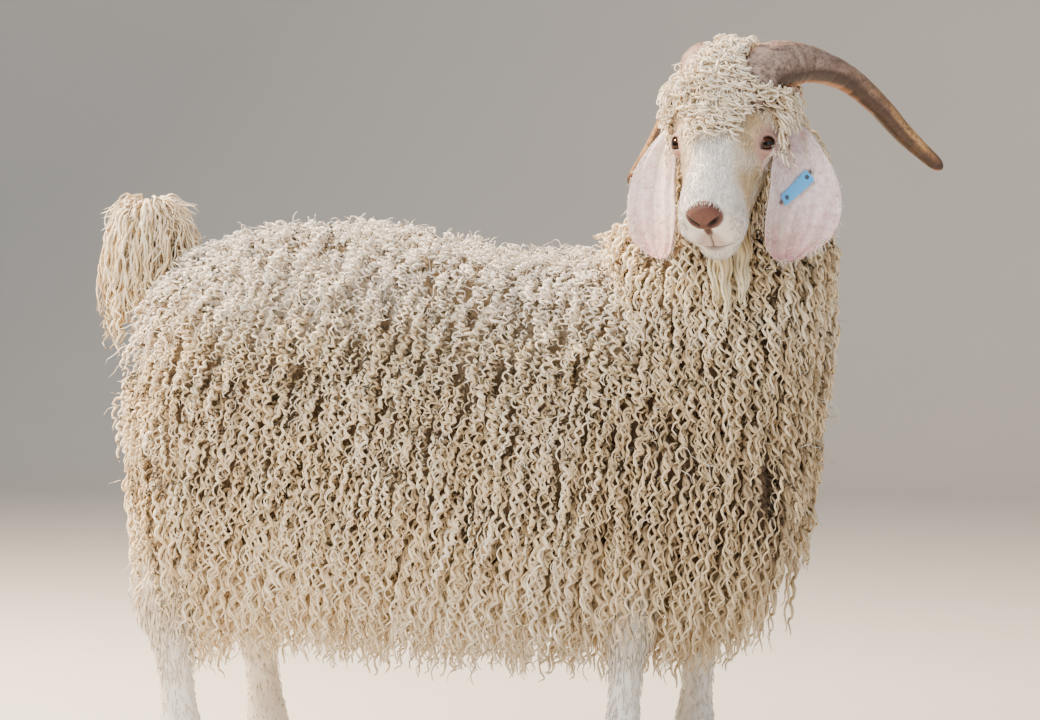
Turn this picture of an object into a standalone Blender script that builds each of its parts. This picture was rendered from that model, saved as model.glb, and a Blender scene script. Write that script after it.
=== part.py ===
"""Angora ram in full fleece, life size, standing with its head turned to its right.

The ram stands along +X, with +Z up. It is designed on its own datum, the middle of the trunk on the
floor, and the last step moves it so that the middle of its box stands on the origin.
"""

import math
import random

import bmesh
import bpy
from mathutils import Matrix, Vector

COLLECTION = "angora_ram"
GAP = 0.0003  # between pieces that touch
SEED = 11

# Trunk core under the locks, rump to chest: x, top, bottom, half width
TORSO = (
    (-0.428, 0.585, 0.385, 0.080),
    (-0.405, 0.640, 0.335, 0.128),
    (-0.330, 0.682, 0.305, 0.160),
    (-0.200, 0.702, 0.295, 0.176),
    (-0.060, 0.684, 0.288, 0.182),
    (0.070, 0.660, 0.285, 0.178),
    (0.190, 0.672, 0.290, 0.162),
    (0.290, 0.620, 0.300, 0.140),
    (0.360, 0.540, 0.330, 0.100),
)
TORSO_WIDEST = 0.48  # share of the height where the trunk is widest
TORSO_SQUARE = 0.82  # exponent of the section, 1 is an ellipse

# Neck core, brisket to poll: z, back x, front x, centre y, half width
NECK = (
    (0.315, 0.160, 0.335, 0.000, 0.090),
    (0.360, 0.130, 0.362, 0.000, 0.120),
    (0.420, 0.118, 0.376, 0.000, 0.135),
    (0.500, 0.110, 0.386, 0.000, 0.145),
    (0.600, 0.140, 0.396, -0.004, 0.138),
    (0.680, 0.185, 0.400, -0.015, 0.118),
    (0.750, 0.222, 0.408, -0.034, 0.092),
    (0.800, 0.240, 0.402, -0.048, 0.082),
    (0.850, 0.252, 0.392, -0.066, 0.072),
    (0.890, 0.268, 0.372, -0.082, 0.055),
)
NECK_SQUARE = 0.90

# Clumps of the fleece, set in staggered rows on the core
CLUMP_PITCH = 0.116  # from one to the next along a row
CLUMP_ROW = 0.108  # from row to row
CLUMP_SIZE = (0.154, 0.110, 0.062)  # length, width, thickness
CLUMP_RISE = 0.016  # of its middle line above the core
CLUMP_CURVE = 0.026  # of its tip towards the trunk, which bends away under it
CLUMP_SHAPE = ((0.0, 0.80), (0.44, 1.0), (0.90, 0.72))  # share of the length, share of the width
CLUMP_WAVE = 0.012
FLEECE_LEAN = (-0.20, 0.45, -1.0)  # the way the locks hang: back, outward, down
RUMP_LEAN = (0.30, 0.45, -1.0)  # and behind this x
RUMP_FROM = -0.35
CLUMPS_FROM = -0.395  # x of the rows on the trunk
CLUMPS_TO = 0.30
RUMP_ROWS = (0.655, 0.605, 0.550, 0.490, 0.430)  # heights of the rows on the rear end
HEM_LENGTH = 0.125

# Curls of the topknot
CURL_PITCH = 0.050
CURL_SIZE = (0.062, 0.060, 0.044)
CURL_RISE = 0.026
CURL_CROWN = 0.016  # more on the crown
CURL_FROM = -0.150
CURL_TO = 0.006
TOPKNOT = ((-0.062, 0.0, 0.026), (0.064, 0.074, 0.052))  # middle and radii of the wool under them

# Locks of the tail and the beard: length, width, thickness
PLUME_SIZE = (0.072, 0.056, 0.024)
BEARD_SIZE = (0.125, 0.030, 0.014)
NECK_PLANE = ((0.130, 0.0, 0.720), (0.604, 0.0, 0.797))  # parts the neck from the torso
TAIL_SEAT = (-0.390, 0.655)  # the tail stands on the croup behind this x and above this z

# Head, in its own axes: f towards the nose, l to its left, u up, from the middle of the eyes
HEAD_AT = Vector((0.315, -0.175, 0.833))
HEAD_YAW = math.radians(-99)
HEAD_PITCH = math.radians(45)
HEAD = (  # f, half width, top, bottom, height of the widest line, taper of the jaw
    (-0.150, 0.034, -0.032, -0.088, -0.056, 0.10),
    (-0.130, 0.048, -0.004, -0.102, -0.040, 0.15),
    (-0.105, 0.056, 0.020, -0.108, -0.025, 0.20),
    (-0.085, 0.060, 0.034, -0.110, -0.015, 0.20),
    (-0.055, 0.064, 0.044, -0.110, -0.008, 0.30),
    (-0.025, 0.066, 0.047, -0.104, 0.000, 0.38),
    (0.005, 0.061, 0.044, -0.099, 0.000, 0.40),
    (0.035, 0.052, 0.038, -0.094, -0.010, 0.36),
    (0.065, 0.044, 0.031, -0.088, -0.020, 0.30),
    (0.090, 0.040, 0.025, -0.084, -0.028, 0.22),
    (0.108, 0.037, 0.019, -0.081, -0.030, 0.18),
    (0.120, 0.032, 0.010, -0.074, -0.030, 0.16),
    (0.128, 0.020, -0.004, -0.058, -0.030, 0.10),
)
HEAD_LEAN = 0.20  # of the muzzle's front, forward at the nose and back at the chin
HEAD_LEAN_FROM = 0.050
NAPE_LEVEL = -0.070  # height of the plane that parts the wool of the head from the neck

# Muzzle: middle and radii of what is joined to it and cut from it
NOSE_PAD = ((0.126, 0.0, -0.004), (0.014, 0.022, 0.018))
UPPER_LIP = ((0.106, 0.016, -0.036), (0.026, 0.020, 0.021))
CHIN = ((0.088, 0.0, -0.074), (0.028, 0.022, 0.015))
NOSTRIL = ((0.137, 0.0115, -0.005), (0.008, 0.0048, 0.0064))
NOSTRIL_WING = ((0.128, 0.0190, 0.002), (0.010, 0.0042, 0.0030))
MOUTH = (  # corner to front: f, height
    (0.070, -0.050),
    (0.088, -0.056),
    (0.104, -0.058),
    (0.116, -0.056),
)
MOUTH_RADIUS = 0.0030
MOUTH_TIP = 0.0035  # of the groove past the last point

EYE_AT = (0.004, 0.0505, 0.0)
EYE_RADIUS = 0.0145
EYE_TURN = math.radians(58)  # from the nose outwards
LID_RADIUS = 0.0150
LID_TUBE = 0.0042

# Horns, root to tip, in the yawed frame of the head: to the side, back, up
HORN_LEFT = (
    (0.029, -0.012, 0.042),
    (0.044, 0.026, 0.086),
    (0.066, 0.066, 0.099),
    (0.092, 0.100, 0.097),
    (0.122, 0.140, 0.082),
    (0.154, 0.175, 0.050),
    (0.185, 0.203, 0.010),
    (0.227, 0.225, -0.032),
)
HORN_RIGHT = (
    (0.029, -0.012, 0.042),
    (0.037, 0.026, 0.085),
    (0.045, 0.066, 0.098),
    (0.061, 0.106, 0.102),
    (0.083, 0.155, 0.086),
    (0.110, 0.198, 0.058),
    (0.150, 0.240, 0.004),
    (0.194, 0.262, -0.050),
)
HORN_GIRTH = (  # share of the length, half width, half thickness
    (0.00, 0.0310, 0.0235),
    (0.29, 0.0295, 0.0235),
    (0.43, 0.0245, 0.0210),
    (0.57, 0.0200, 0.0175),
    (0.71, 0.0168, 0.0150),
    (0.86, 0.0138, 0.0125),
    (1.00, 0.0090, 0.0085),
)
HORN_RINGS = 17
HORN_SWELL = 0.05  # of every other ring at the base
HORN_TWIST = math.radians(100)

# Ears, root to tip, in the same frame
EAR_LEFT = (
    (0.050, 0.056, 0.040),
    (0.073, 0.046, 0.014),
    (0.084, 0.034, -0.022),
    (0.091, 0.027, -0.064),
    (0.087, 0.020, -0.106),
    (0.074, 0.015, -0.147),
)
EAR_RIGHT = (
    (0.050, 0.056, 0.040),
    (0.076, 0.046, 0.014),
    (0.092, 0.034, -0.022),
    (0.096, 0.027, -0.064),
    (0.093, 0.020, -0.106),
    (0.088, 0.015, -0.144),
)
EAR_WIDTH = (  # share of the length, half width
    (0.00, 0.016),
    (0.15, 0.020),
    (0.30, 0.030),
    (0.45, 0.041),
    (0.60, 0.048),
    (0.74, 0.050),
    (0.87, 0.043),
    (0.95, 0.028),
    (0.985, 0.016),
    (1.00, 0.008),
)
EAR_LENGTH = 0.200
EAR_THICK = 0.0045
EAR_TURN = math.radians(39)
EAR_CUP = 0.016
EAR_ROWS = 12
EAR_ROOM = 0.090  # kept free of the neck's coat in front of the ears

TAG_AT = (0.50, -0.05)  # along and across the left ear
TAG_SIZE = (0.040, 0.0125, 0.0016)
TAG_TURN = math.radians(38)

# Tail core, croup to tip: x, z, radius
TAIL = (
    (-0.432, 0.630, 0.038),
    (-0.443, 0.680, 0.031),
    (-0.446, 0.712, 0.024),
    (-0.445, 0.738, 0.014),
)

# Legs: front to back, side; sections are z, x from the hoof, half length, half width
FORE_X = {"right": 0.190, "left": 0.262}
HIND_X = {"right": -0.372, "left": -0.300}
LEG_Y = {"right": -0.098, "left": 0.098}
FORE_LEG = (
    (0.036, 0.000, 0.026, 0.024),
    (0.062, -0.006, 0.024, 0.022),
    (0.088, -0.010, 0.027, 0.024),
    (0.120, -0.008, 0.021, 0.019),
    (0.180, -0.004, 0.021, 0.019),
    (0.215, 0.000, 0.027, 0.025),
    (0.245, 0.000, 0.029, 0.027),
    (0.275, -0.004, 0.031, 0.029),
    (0.335, -0.010, 0.044, 0.038),
)
HIND_LEG = (
    (0.036, 0.000, 0.026, 0.024),
    (0.062, -0.006, 0.024, 0.022),
    (0.090, -0.012, 0.027, 0.024),
    (0.125, -0.016, 0.022, 0.019),
    (0.190, -0.024, 0.023, 0.020),
    (0.235, -0.032, 0.031, 0.024),
    (0.268, -0.030, 0.037, 0.026),
    (0.300, -0.008, 0.045, 0.029),
    (0.350, 0.014, 0.058, 0.036),
)
HOOF = ((0.0, 0.036, 0.021), (0.012, 0.034, 0.0205), (0.036, 0.024, 0.0175))
HOOF_SPLIT = 0.0022
HOOF_TOE = 0.007

COLOURS = {
    "fleece": ((0.68, 0.57, 0.44), 0.9, 0.0),
    "face": ((0.86, 0.80, 0.72), 0.8, 0.0),
    "ear": ((0.83, 0.68, 0.66), 0.7, 0.0),
    "horn": ((0.42, 0.30, 0.22), 0.55, 0.0),
    "hoof": ((0.30, 0.24, 0.18), 0.5, 0.0),
    "eye": ((0.03, 0.02, 0.015), 0.1, 0.0),
    "tag": ((0.38, 0.68, 0.84), 0.4, 0.0),
}


def clear_scene():
    for obj in list(bpy.data.objects):
        bpy.data.objects.remove(obj, do_unlink=True)
    bpy.context.scene.collection.children.link(bpy.data.collections.new(COLLECTION))


def along(sections, t):
    """Row of a table at t, its first column, on a smooth curve through the rows."""
    rows = [row[1:] for row in sections]
    keys = [row[0] for row in sections]
    t = min(max(t, keys[0]), keys[-1])
    i = max(k for k in range(len(keys) - 1) if keys[k] <= t)
    share = (t - keys[i]) / (keys[i + 1] - keys[i])
    found = []
    for column in range(len(rows[0])):
        value = [row[column] for row in rows]
        slope = []
        for k in (i, i + 1):
            low, high = max(k - 1, 0), min(k + 1, len(keys) - 1)
            slope.append((value[high] - value[low]) / (keys[high] - keys[low]) * (keys[i + 1] - keys[i]))
        s2, s3 = share * share, share ** 3
        found.append(
            value[i] * (2 * s3 - 3 * s2 + 1)
            + slope[0] * (s3 - 2 * s2 + share)
            + value[i + 1] * (3 * s2 - 2 * s3)
            + slope[1] * (s3 - s2)
        )
    return found


def power(value, exponent):
    return math.copysign(abs(value) ** exponent, value)


def torso_point(x, angle, lift=0.0):
    top, bottom, half = along(TORSO, x)
    middle = bottom + TORSO_WIDEST * (top - bottom)
    rise = (top - middle if math.sin(angle) > 0 else middle - bottom) + lift
    side = (half + lift) * power(math.cos(angle), TORSO_SQUARE)
    return Vector((x, side, middle + rise * power(math.sin(angle), TORSO_SQUARE)))


def neck_point(z, angle, lift=0.0):
    back, front, centre, half = along(NECK, z)
    reach = (front - back) / 2 + lift
    return Vector((
        (front + back) / 2 + reach * power(math.cos(angle), NECK_SQUARE),
        centre + (half + lift) * power(math.sin(angle), NECK_SQUARE),
        z,
    ))


def normal_of(surface, a, b, inside):
    """Outward normal of surface(a, b), away from the point inside."""
    step = 1e-3
    here = surface(a, b)
    normal = (surface(a + step, b) - here).cross(surface(a, b + step) - here).normalized()
    return normal if normal.dot(here - inside) > 0 else -normal


def inside_torso(point, margin=0.0):
    if not TORSO[0][0] < point.x < TORSO[-1][0]:
        return False
    top, bottom, half = along(TORSO, point.x)
    middle = bottom + TORSO_WIDEST * (top - bottom)
    rise = top - middle if point.z > middle else middle - bottom
    reach = 2 / TORSO_SQUARE
    return abs(point.y / (half - margin)) ** reach + abs((point.z - middle) / (rise - margin)) ** reach < 1


def inside_neck(point, margin=0.0):
    if not NECK[0][0] < point.z < NECK[-1][0]:
        return False
    back, front, centre, half = along(NECK, point.z)
    reach = 2 / NECK_SQUARE
    across = abs((point.x - (front + back) / 2) / ((front - back) / 2 - margin)) ** reach
    return across + abs((point.y - centre) / (half - margin)) ** reach < 1


YAW_FRAME = Matrix.Translation(HEAD_AT) @ Matrix.Rotation(HEAD_YAW, 4, "Z")
HEAD_FRAME = YAW_FRAME @ Matrix.Rotation(HEAD_PITCH, 4, "Y")
SIDES = {"left": 1, "right": -1}


def turned(vector, frame=HEAD_FRAME):
    return (frame.to_3x3() @ Vector(vector)).normalized()


def yawed(side, out, back, up):
    return YAW_FRAME @ Vector((-back, SIDES[side] * out, up))


def head_point(f, angle, lift=0.0):
    half, top, bottom, widest, taper = along(HEAD, f)
    rise = math.sin(angle)
    up = widest + (top - widest + lift if rise > 0 else widest - bottom + lift) * power(rise, 0.9)
    out = (half + lift) * power(math.cos(angle), 0.85) * (1 - taper * max(0.0, -rise))
    lean = HEAD_LEAN * max(0.0, f - HEAD_LEAN_FROM) / (HEAD[-1][0] - HEAD_LEAN_FROM)
    return HEAD_FRAME @ Vector((f + lean * (up - widest), out, up))


def link(name, mesh):
    obj = bpy.data.objects.new(name, mesh)
    bpy.data.collections[COLLECTION].objects.link(obj)
    return obj


def loft(name, rings):
    """A closed skin through rings of equally many points, with a flat cap at each end."""
    mesh = bmesh.new()
    rows = [[mesh.verts.new(point) for point in ring] for ring in rings]
    count = len(rings[0])
    for low, high in zip(rows, rows[1:]):
        for i in range(count):
            j = (i + 1) % count
            mesh.faces.new((low[i], low[j], high[j]))
            mesh.faces.new((low[i], high[j], high[i]))
    mesh.faces.new(rows[0][::-1])
    mesh.faces.new(rows[-1])
    bmesh.ops.remove_doubles(mesh, verts=mesh.verts, dist=1e-6)
    bmesh.ops.triangulate(mesh, faces=[face for face in mesh.faces if len(face.verts) > 4])
    bmesh.ops.recalc_face_normals(mesh, faces=mesh.faces)
    data = bpy.data.meshes.new(name)
    mesh.to_mesh(data)
    mesh.free()
    return link(name, data)


def ball(name, centre, radii, frame=Matrix(), segments=12, rings=8):
    mesh = bmesh.new()
    bmesh.ops.create_uvsphere(mesh, u_segments=segments, v_segments=rings, radius=1.0)
    bmesh.ops.scale(mesh, vec=radii, verts=mesh.verts)
    mesh.transform(frame.to_3x3().to_4x4())
    bmesh.ops.translate(mesh, vec=centre, verts=mesh.verts)
    data = bpy.data.meshes.new(name)
    mesh.to_mesh(data)
    mesh.free()
    return link(name, data)


def slab(name, point, normal, size=2.0):
    """A large block that fills the side of a plane that its normal points to."""
    mesh = bmesh.new()
    bmesh.ops.create_cube(mesh, size=size)
    bmesh.ops.translate(mesh, vec=(0, 0, size / 2), verts=mesh.verts)
    data = bpy.data.meshes.new(name)
    mesh.to_mesh(data)
    mesh.free()
    data.transform(Matrix.Translation(point) @ Vector(normal).to_track_quat("Z", "Y").to_matrix().to_4x4())
    return link(name, data)


def boolean(obj, operation, others):
    """Joins others to obj, or cuts obj by them, and removes them."""
    helpers = bpy.data.collections.new(obj.name + "_helpers")
    bpy.context.scene.collection.children.link(helpers)
    for other in others:
        helpers.objects.link(other)
    modifier = obj.modifiers.new(operation.lower(), "BOOLEAN")
    modifier.operation = operation
    modifier.solver = "MANIFOLD"
    modifier.operand_type = "COLLECTION"
    modifier.collection = helpers
    bpy.context.view_layer.update()
    graph = bpy.context.evaluated_depsgraph_get()
    result = bpy.data.meshes.new_from_object(obj.evaluated_get(graph))
    obj.modifiers.clear()
    obj.data = result
    for other in others:
        bpy.data.objects.remove(other, do_unlink=True)
    bpy.data.collections.remove(helpers)
    return obj


def copy_of(obj, name):
    return link(name, obj.data.copy())


def largest(obj):
    """Keeps only the largest closed surface of obj."""
    mesh = bmesh.new()
    mesh.from_mesh(obj.data)
    unseen = set(mesh.verts)
    groups = []
    while unseen:
        group, edge = set(), [unseen.pop()]
        while edge:
            vert = edge.pop()
            group.add(vert)
            near = {e.other_vert(vert) for e in vert.link_edges} & unseen
            unseen -= near
            edge.extend(near)
        groups.append(group)

    def span(group):
        return sum(max(v.co[k] for v in group) - min(v.co[k] for v in group) for k in range(3))

    best = max(groups, key=span)
    bmesh.ops.delete(mesh, geom=[v for v in mesh.verts if v not in best], context="VERTS")
    bmesh.ops.triangulate(mesh, faces=mesh.faces)
    mesh.to_mesh(obj.data)
    mesh.free()
    return obj


def finish(obj, material):
    largest(obj)
    colour, roughness, metallic = COLOURS[material]
    look = bpy.data.materials.get(material)
    if look is None:
        look = bpy.data.materials.new(material)
        look.use_nodes = True
        shader = look.node_tree.nodes["Principled BSDF"]
        shader.inputs["Base Color"].default_value = (*colour, 1.0)
        shader.inputs["Roughness"].default_value = roughness
        shader.inputs["Metallic"].default_value = metallic
    obj.data.materials.clear()
    obj.data.materials.append(look)
    obj.data.shade_smooth()
    obj.data.set_sharp_from_angle(angle=math.radians(40))
    return obj


def ring_angles(count):
    return [2 * math.pi * i / count for i in range(count)]


def clump(root, out, lie, size, rise, sides=5, wave=CLUMP_WAVE, curve=0.0):
    """A rounded lock: it leaves the surface at its root, bends over and follows the lie of the coat."""
    length, width, thick = (value * random.uniform(0.92, 1.08) for value in size)
    out, lie = Vector(out).normalized(), Vector(lie).normalized()
    across = lie.cross(out).normalized()
    start = root - out * rise * 0.8
    knee = root + out * rise * 1.1 + lie * length * 0.10
    end = root + lie * length + out * (rise - curve)
    phase = random.uniform(0, 2 * math.pi)

    def line(t):
        bend = start * (1 - t) ** 2 + knee * 2 * t * (1 - t) + end * t * t
        return bend + across * wave * t * math.sin(phase + 5.0 * t)

    rings = []
    for t, share in CLUMP_SHAPE:
        ahead = (line(t + 0.02) - line(t - 0.02)).normalized()
        side = ahead.cross(out.lerp(-lie, 0.5 * (1 - t))).normalized()
        over = side.cross(ahead)
        rings.append([
            line(t) + side * math.cos(a) * width * share / 2 + over * math.sin(a) * thick * share / 2
            for a in ring_angles(sides)
        ])
    rings.append([line(1.0)] * sides)
    return loft("clump", rings)


def lay(lean, out):
    """The lean of the coat turned into the surface."""
    flat = lean - out * lean.dot(out)
    return flat.normalized()


def walk(point_of, start, end, pitch, shift=0.0):
    """Values from start to end whose points lie about pitch apart."""
    found, run, here = [], pitch * (0.5 + shift), point_of(start)
    for i in range(1, 401):
        value = start + (end - start) * i / 400
        ahead = point_of(value)
        run += (ahead - here).length
        here = ahead
        if run >= pitch:
            found.append(value)
            run -= pitch
    return found


def jitter(amount):
    return Vector([random.uniform(-amount, amount) for _ in range(3)])


def torso_clumps():
    made = []
    columns = walk(lambda x: torso_point(x, 0.0, CLUMP_RISE), CLUMPS_FROM, CLUMPS_TO, CLUMP_PITCH)
    for sign in SIDES.values():
        for column, x in enumerate(columns):
            def around(angle):
                return torso_point(x, angle, CLUMP_RISE)

            rows = walk(around, math.radians(84), math.radians(-62), CLUMP_ROW, 0.5 * (column % 2) + 0.2)
            for angle in rows:
                root = torso_point(x, angle)
                if inside_neck(root, 0.015):
                    continue
                out = normal_of(torso_point, x, angle, Vector((x, 0, 0.45)))
                lean = Vector(FLEECE_LEAN if x > RUMP_FROM else RUMP_LEAN)
                size, curve = CLUMP_SIZE, CLUMP_CURVE * (1 - max(0.0, out.z))
                if out.z < -0.25:
                    out = Vector((out.x, out.y, 0.0)).normalized()
                    lean = Vector((0, 0.12, -1.0))
                    size, curve = (HEM_LENGTH, *CLUMP_SIZE[1:]), 0.0
                lie = lay(lay(lean, out) + jitter(0.12), out)
                mirror = Vector((1, sign, 1))
                made.append(clump(root * mirror, out * mirror, lie * mirror, size, CLUMP_RISE, curve=curve))
    return made


def rump_clumps():
    made = []
    for row, z in enumerate(RUMP_ROWS):
        for y in ((-0.045, 0.045), (-0.075, 0.0, 0.075))[row % 2]:
            ahead = 0.5 * max(0.0, z - RUMP_ROWS[1]) + 0.1 * abs(y)
            root = Vector((TORSO[0][0] + ahead, y, z))
            lie = Vector((-0.12, y * 2, -1)) + jitter(0.12)
            made.append(clump(root, (-1, y * 3, 0), lie, CLUMP_SIZE, CLUMP_RISE))
    return made


def neck_clumps():
    made = []
    levels = walk(lambda z: neck_point(z, 0.0), 0.885, 0.330, CLUMP_ROW * 0.9, 0.5)
    for row, z in enumerate(levels):
        def around(angle):
            return neck_point(z, angle, CLUMP_RISE)

        for angle in walk(around, -math.pi, math.pi, CLUMP_PITCH * 0.95, 0.5 * (row % 2)):
            root = neck_point(z, angle)
            if inside_torso(root, 0.012) or in_head(root, 0.010):
                continue
            middle = neck_point(z, 0.0).lerp(neck_point(z, math.pi), 0.5)
            out = normal_of(neck_point, z, angle, middle)
            out = Vector((out.x, out.y, max(out.z, -0.3))).normalized()
            lie = (lay(Vector((0, 0, -1)), out) + jitter(0.10)).normalized()
            narrow = 0.80 if z > 0.72 else 1.0
            size = (CLUMP_SIZE[0] * narrow, CLUMP_SIZE[1] * narrow, CLUMP_SIZE[2] * narrow)
            made.append(clump(root, out, lie, size, CLUMP_RISE * narrow))
    return made


def in_head(point, margin=0.0):
    """Whether a point lies above the nape plane, or within the jaw, with margin."""
    local = HEAD_FRAME.inverted() @ point
    jaw = abs(local.y) < 0.060 + margin and local.z > -0.105 - margin
    return local.z > NAPE_LEVEL - margin or jaw


def trunk():
    torso = loft("torso", [[torso_point(row[0], a) for a in ring_angles(20)] for row in TORSO])
    neck = loft("neck_core", [[neck_point(row[0], a) for a in ring_angles(18)] for row in NECK])
    return boolean(torso, "UNION", [neck] + torso_clumps() + rump_clumps() + neck_clumps())


def curls():
    """The curly topknot, from the poll to just over the eyes and down the sides behind them."""
    made = []
    rows = walk(lambda f: head_point(f, math.pi / 2), CURL_FROM, CURL_TO, CURL_PITCH, 0.3)
    for row, f in enumerate(rows):
        lowest = math.radians(-15 if f < -0.05 else 25 if f < -0.02 else 48)
        for sign in SIDES.values():
            def around(angle):
                return head_point(f, angle, CURL_RISE)

            for angle in walk(around, math.radians(90), lowest, CURL_PITCH, 0.5 * (row % 2)):
                root = HEAD_FRAME.inverted() @ head_point(f, angle)
                out = Vector((0, math.cos(angle), math.sin(angle) * 0.8 + 0.1)) + jitter(0.15)
                lie = Vector((1.0, 0.5 * math.cos(angle), -0.6 * math.cos(angle))) + jitter(0.5)
                mirror = Vector((1, sign, 1))
                lie = lay(lie, out.normalized())
                root, out, lie = HEAD_FRAME @ (root * mirror), turned(out * mirror), turned(lie * mirror)
                rise = CURL_RISE + CURL_CROWN * max(0.0, math.sin(angle)) * (f < -0.02)
                made.append(clump(root, out, lie, CURL_SIZE, rise, 5, 0.004))
    return made


def plume():
    """Locks of the raised tail, fanning up and out from its core."""
    made = []
    middle = [(x, 0.0, z) for x, z, _ in TAIL]
    for row, t in enumerate((0.20, 0.50, 0.85)):
        count = (4, 4, 3)[row]
        for k in range(count):
            a = 2 * math.pi * (k + 0.5 * (row % 2)) / count + random.uniform(-0.2, 0.2)
            out = Vector((math.cos(a), 0.8 * math.sin(a), 0.0))
            lie = Vector((0, 0, 1)) + out * (0.60 - 0.2 * row) + jitter(0.10)
            root = smooth_line(middle, t) + out * 0.012
            made.append(clump(root, out, lie, PLUME_SIZE, 0.018, 5, 0.004, 0.012))
    return made


def head_core(name, lift=0.0):
    angles = ring_angles(24)
    rings = [[head_point(row[0], a, lift) for a in angles] for row in HEAD]
    outward = turned((1, 0, 0)) * lift
    rings[0] = [point - outward for point in rings[0]]
    rings[-1] = [point + outward for point in rings[-1]]
    return loft(name, rings)


def mirrored(place, side):
    return Vector((place[0], SIDES[side] * place[1], place[2]))


def lips():
    """Nose pad, the two halves of the upper lip, and the chin."""
    made = []
    for side in SIDES:
        made.append(ball("lip", HEAD_FRAME @ mirrored(UPPER_LIP[0], side), UPPER_LIP[1], HEAD_FRAME, 10, 8))
    for place, radii in (NOSE_PAD, CHIN):
        made.append(ball("lip", HEAD_FRAME @ Vector(place), radii, HEAD_FRAME, 10, 8))
    return made


def nostrils():
    made = []
    for side in SIDES:
        for place, radii in (NOSTRIL, NOSTRIL_WING):
            made.append(ball("nostril", HEAD_FRAME @ mirrored(place, side), radii, HEAD_FRAME, 8, 6))
    return made


def cheek_out(f, up):
    """Half width of the head at a height below its widest line."""
    half, _, bottom, widest, taper = along(HEAD, f)
    sink = min(1.0, (widest - up) / (widest - bottom)) ** (1 / 0.9)
    return half * (1 - sink * sink) ** 0.425 * (1 - taper * sink)


def mouth():
    """The groove between the lips, from one corner round the front to the other."""
    side = [Vector((f, cheek_out(f, up), up)) for f, up in MOUTH]
    front = Vector((HEAD[-1][0] - MOUTH_TIP, 0.0, MOUTH[-1][1]))
    path = side + [front] + [Vector((p.x, -p.y, p.z)) for p in reversed(side)]
    rings = []
    for i, point in enumerate(path):
        ahead = (path[min(i + 1, len(path) - 1)] - path[max(i - 1, 0)]).normalized()
        across = ahead.cross(Vector((0, 0, 1))).normalized()
        over = across.cross(ahead)
        size = MOUTH_RADIUS * (0.5 if i in (0, len(path) - 1) else 1.0)
        rings.append([
            HEAD_FRAME @ (point + across * math.cos(a) * size * 2.2 + over * math.sin(a) * size)
            for a in ring_angles(6)
        ])
    return loft("mouth", rings)


def lid(side):
    sign = SIDES[side]
    outward = Vector((math.cos(EYE_TURN), sign * math.sin(EYE_TURN), 0.12)).normalized()
    bpy.ops.mesh.primitive_torus_add(
        major_radius=LID_RADIUS, minor_radius=LID_TUBE, major_segments=14, minor_segments=6
    )
    ring = bpy.context.active_object
    shape = Matrix.Diagonal((1.05, 0.80, 1.0, 1.0))
    place = Matrix.Translation(Vector((EYE_AT[0], sign * EYE_AT[1], EYE_AT[2])) + outward * 0.0065)
    ring.data.transform(HEAD_FRAME @ place @ outward.to_track_quat("Z", "Y").to_matrix().to_4x4() @ shape)
    return ring


def orbit(side):
    """The shallow hollow that the eye looks out of."""
    outward = Vector((math.cos(EYE_TURN), SIDES[side] * math.sin(EYE_TURN), 0.12)).normalized()
    centre = Vector((EYE_AT[0], SIDES[side] * EYE_AT[1], EYE_AT[2])) + outward * 0.016
    turn = HEAD_FRAME.to_3x3().to_4x4() @ outward.to_track_quat("Z", "Y").to_matrix().to_4x4()
    return ball("orbit", HEAD_FRAME @ centre, (0.019, 0.015, 0.010), turn)


def topknot():
    """Solid wool under the curls, less than half as thick as they are."""
    return ball("topknot", HEAD_FRAME @ Vector(TOPKNOT[0]), TOPKNOT[1], HEAD_FRAME, 14, 8)


def beard(extra=0.0):
    """Three flat locks under the chin."""
    made = []
    state = random.getstate()
    random.seed(SEED)
    length, width, thick = BEARD_SIZE
    for k, (out, f, share) in enumerate(((-0.013, 0.055, 0.85), (0.0, 0.070, 1.0), (0.014, 0.052, 0.9))):
        root = HEAD_FRAME @ Vector((f, out, -0.074))
        lie = Vector((0.08 + 0.10 * (k - 1), -0.16, -1))
        size = (length * share + extra, width + 2 * extra, thick + 2 * extra)
        made.append(clump(root, (0, 0, -1), lie, size, 0.010, 6, 0.006))
    random.setstate(state)
    return made


def eye_ball(name, side, extra=0.0):
    centre = HEAD_FRAME @ Vector((EYE_AT[0], SIDES[side] * EYE_AT[1], EYE_AT[2]))
    return ball(name, centre, [EYE_RADIUS + extra] * 3, HEAD_FRAME, 12, 8)


def smooth_line(points, t):
    """Point at share t of a smooth curve through points."""
    last = len(points) - 1
    table = [(i / last, *point) for i, point in enumerate(points)]
    return Vector(along(table, t))


def frame_at(centre, t):
    """Direction of a line at share t, and two directions square to it."""
    step = 0.01
    ahead = (centre(min(t + step, 1.0)) - centre(max(t - step, 0.0))).normalized()
    across = ahead.cross(Vector((0, 0, 1))).normalized()
    return ahead, across, across.cross(ahead)


def oval(centre, t, wide, thin, sides, twist=0.0):
    ahead, across, up = frame_at(centre, t)
    turn = Matrix.Rotation(twist * t, 3, ahead)
    ring = [across * math.cos(a) * thin + up * math.sin(a) * wide for a in ring_angles(sides)]
    return [centre(t) + turn @ point for point in ring]


def horn_line(side):
    points = HORN_LEFT if side == "left" else HORN_RIGHT
    return lambda t: yawed(side, *smooth_line(points, t))


def deepened(rings, extra):
    """Rings of a pocket, with its floor moved away by extra."""
    down = (sum(rings[0], Vector()) - sum(rings[1], Vector())).normalized() * extra
    return [[point + down for point in rings[0]]] + rings[1:]


def horn(name, side, extra=0.0):
    rings = []
    for i in range(HORN_RINGS):
        t = i / (HORN_RINGS - 1)
        wide, thin = along(HORN_GIRTH, t)
        swell = 1 + HORN_SWELL * (i % 2) * (1 - t)
        sizes = wide * swell + extra, thin * swell + extra
        rings.append(oval(horn_line(side), t, *sizes, 10, SIDES[side] * HORN_TWIST))
    return loft(name, deepened(rings, extra))


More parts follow.
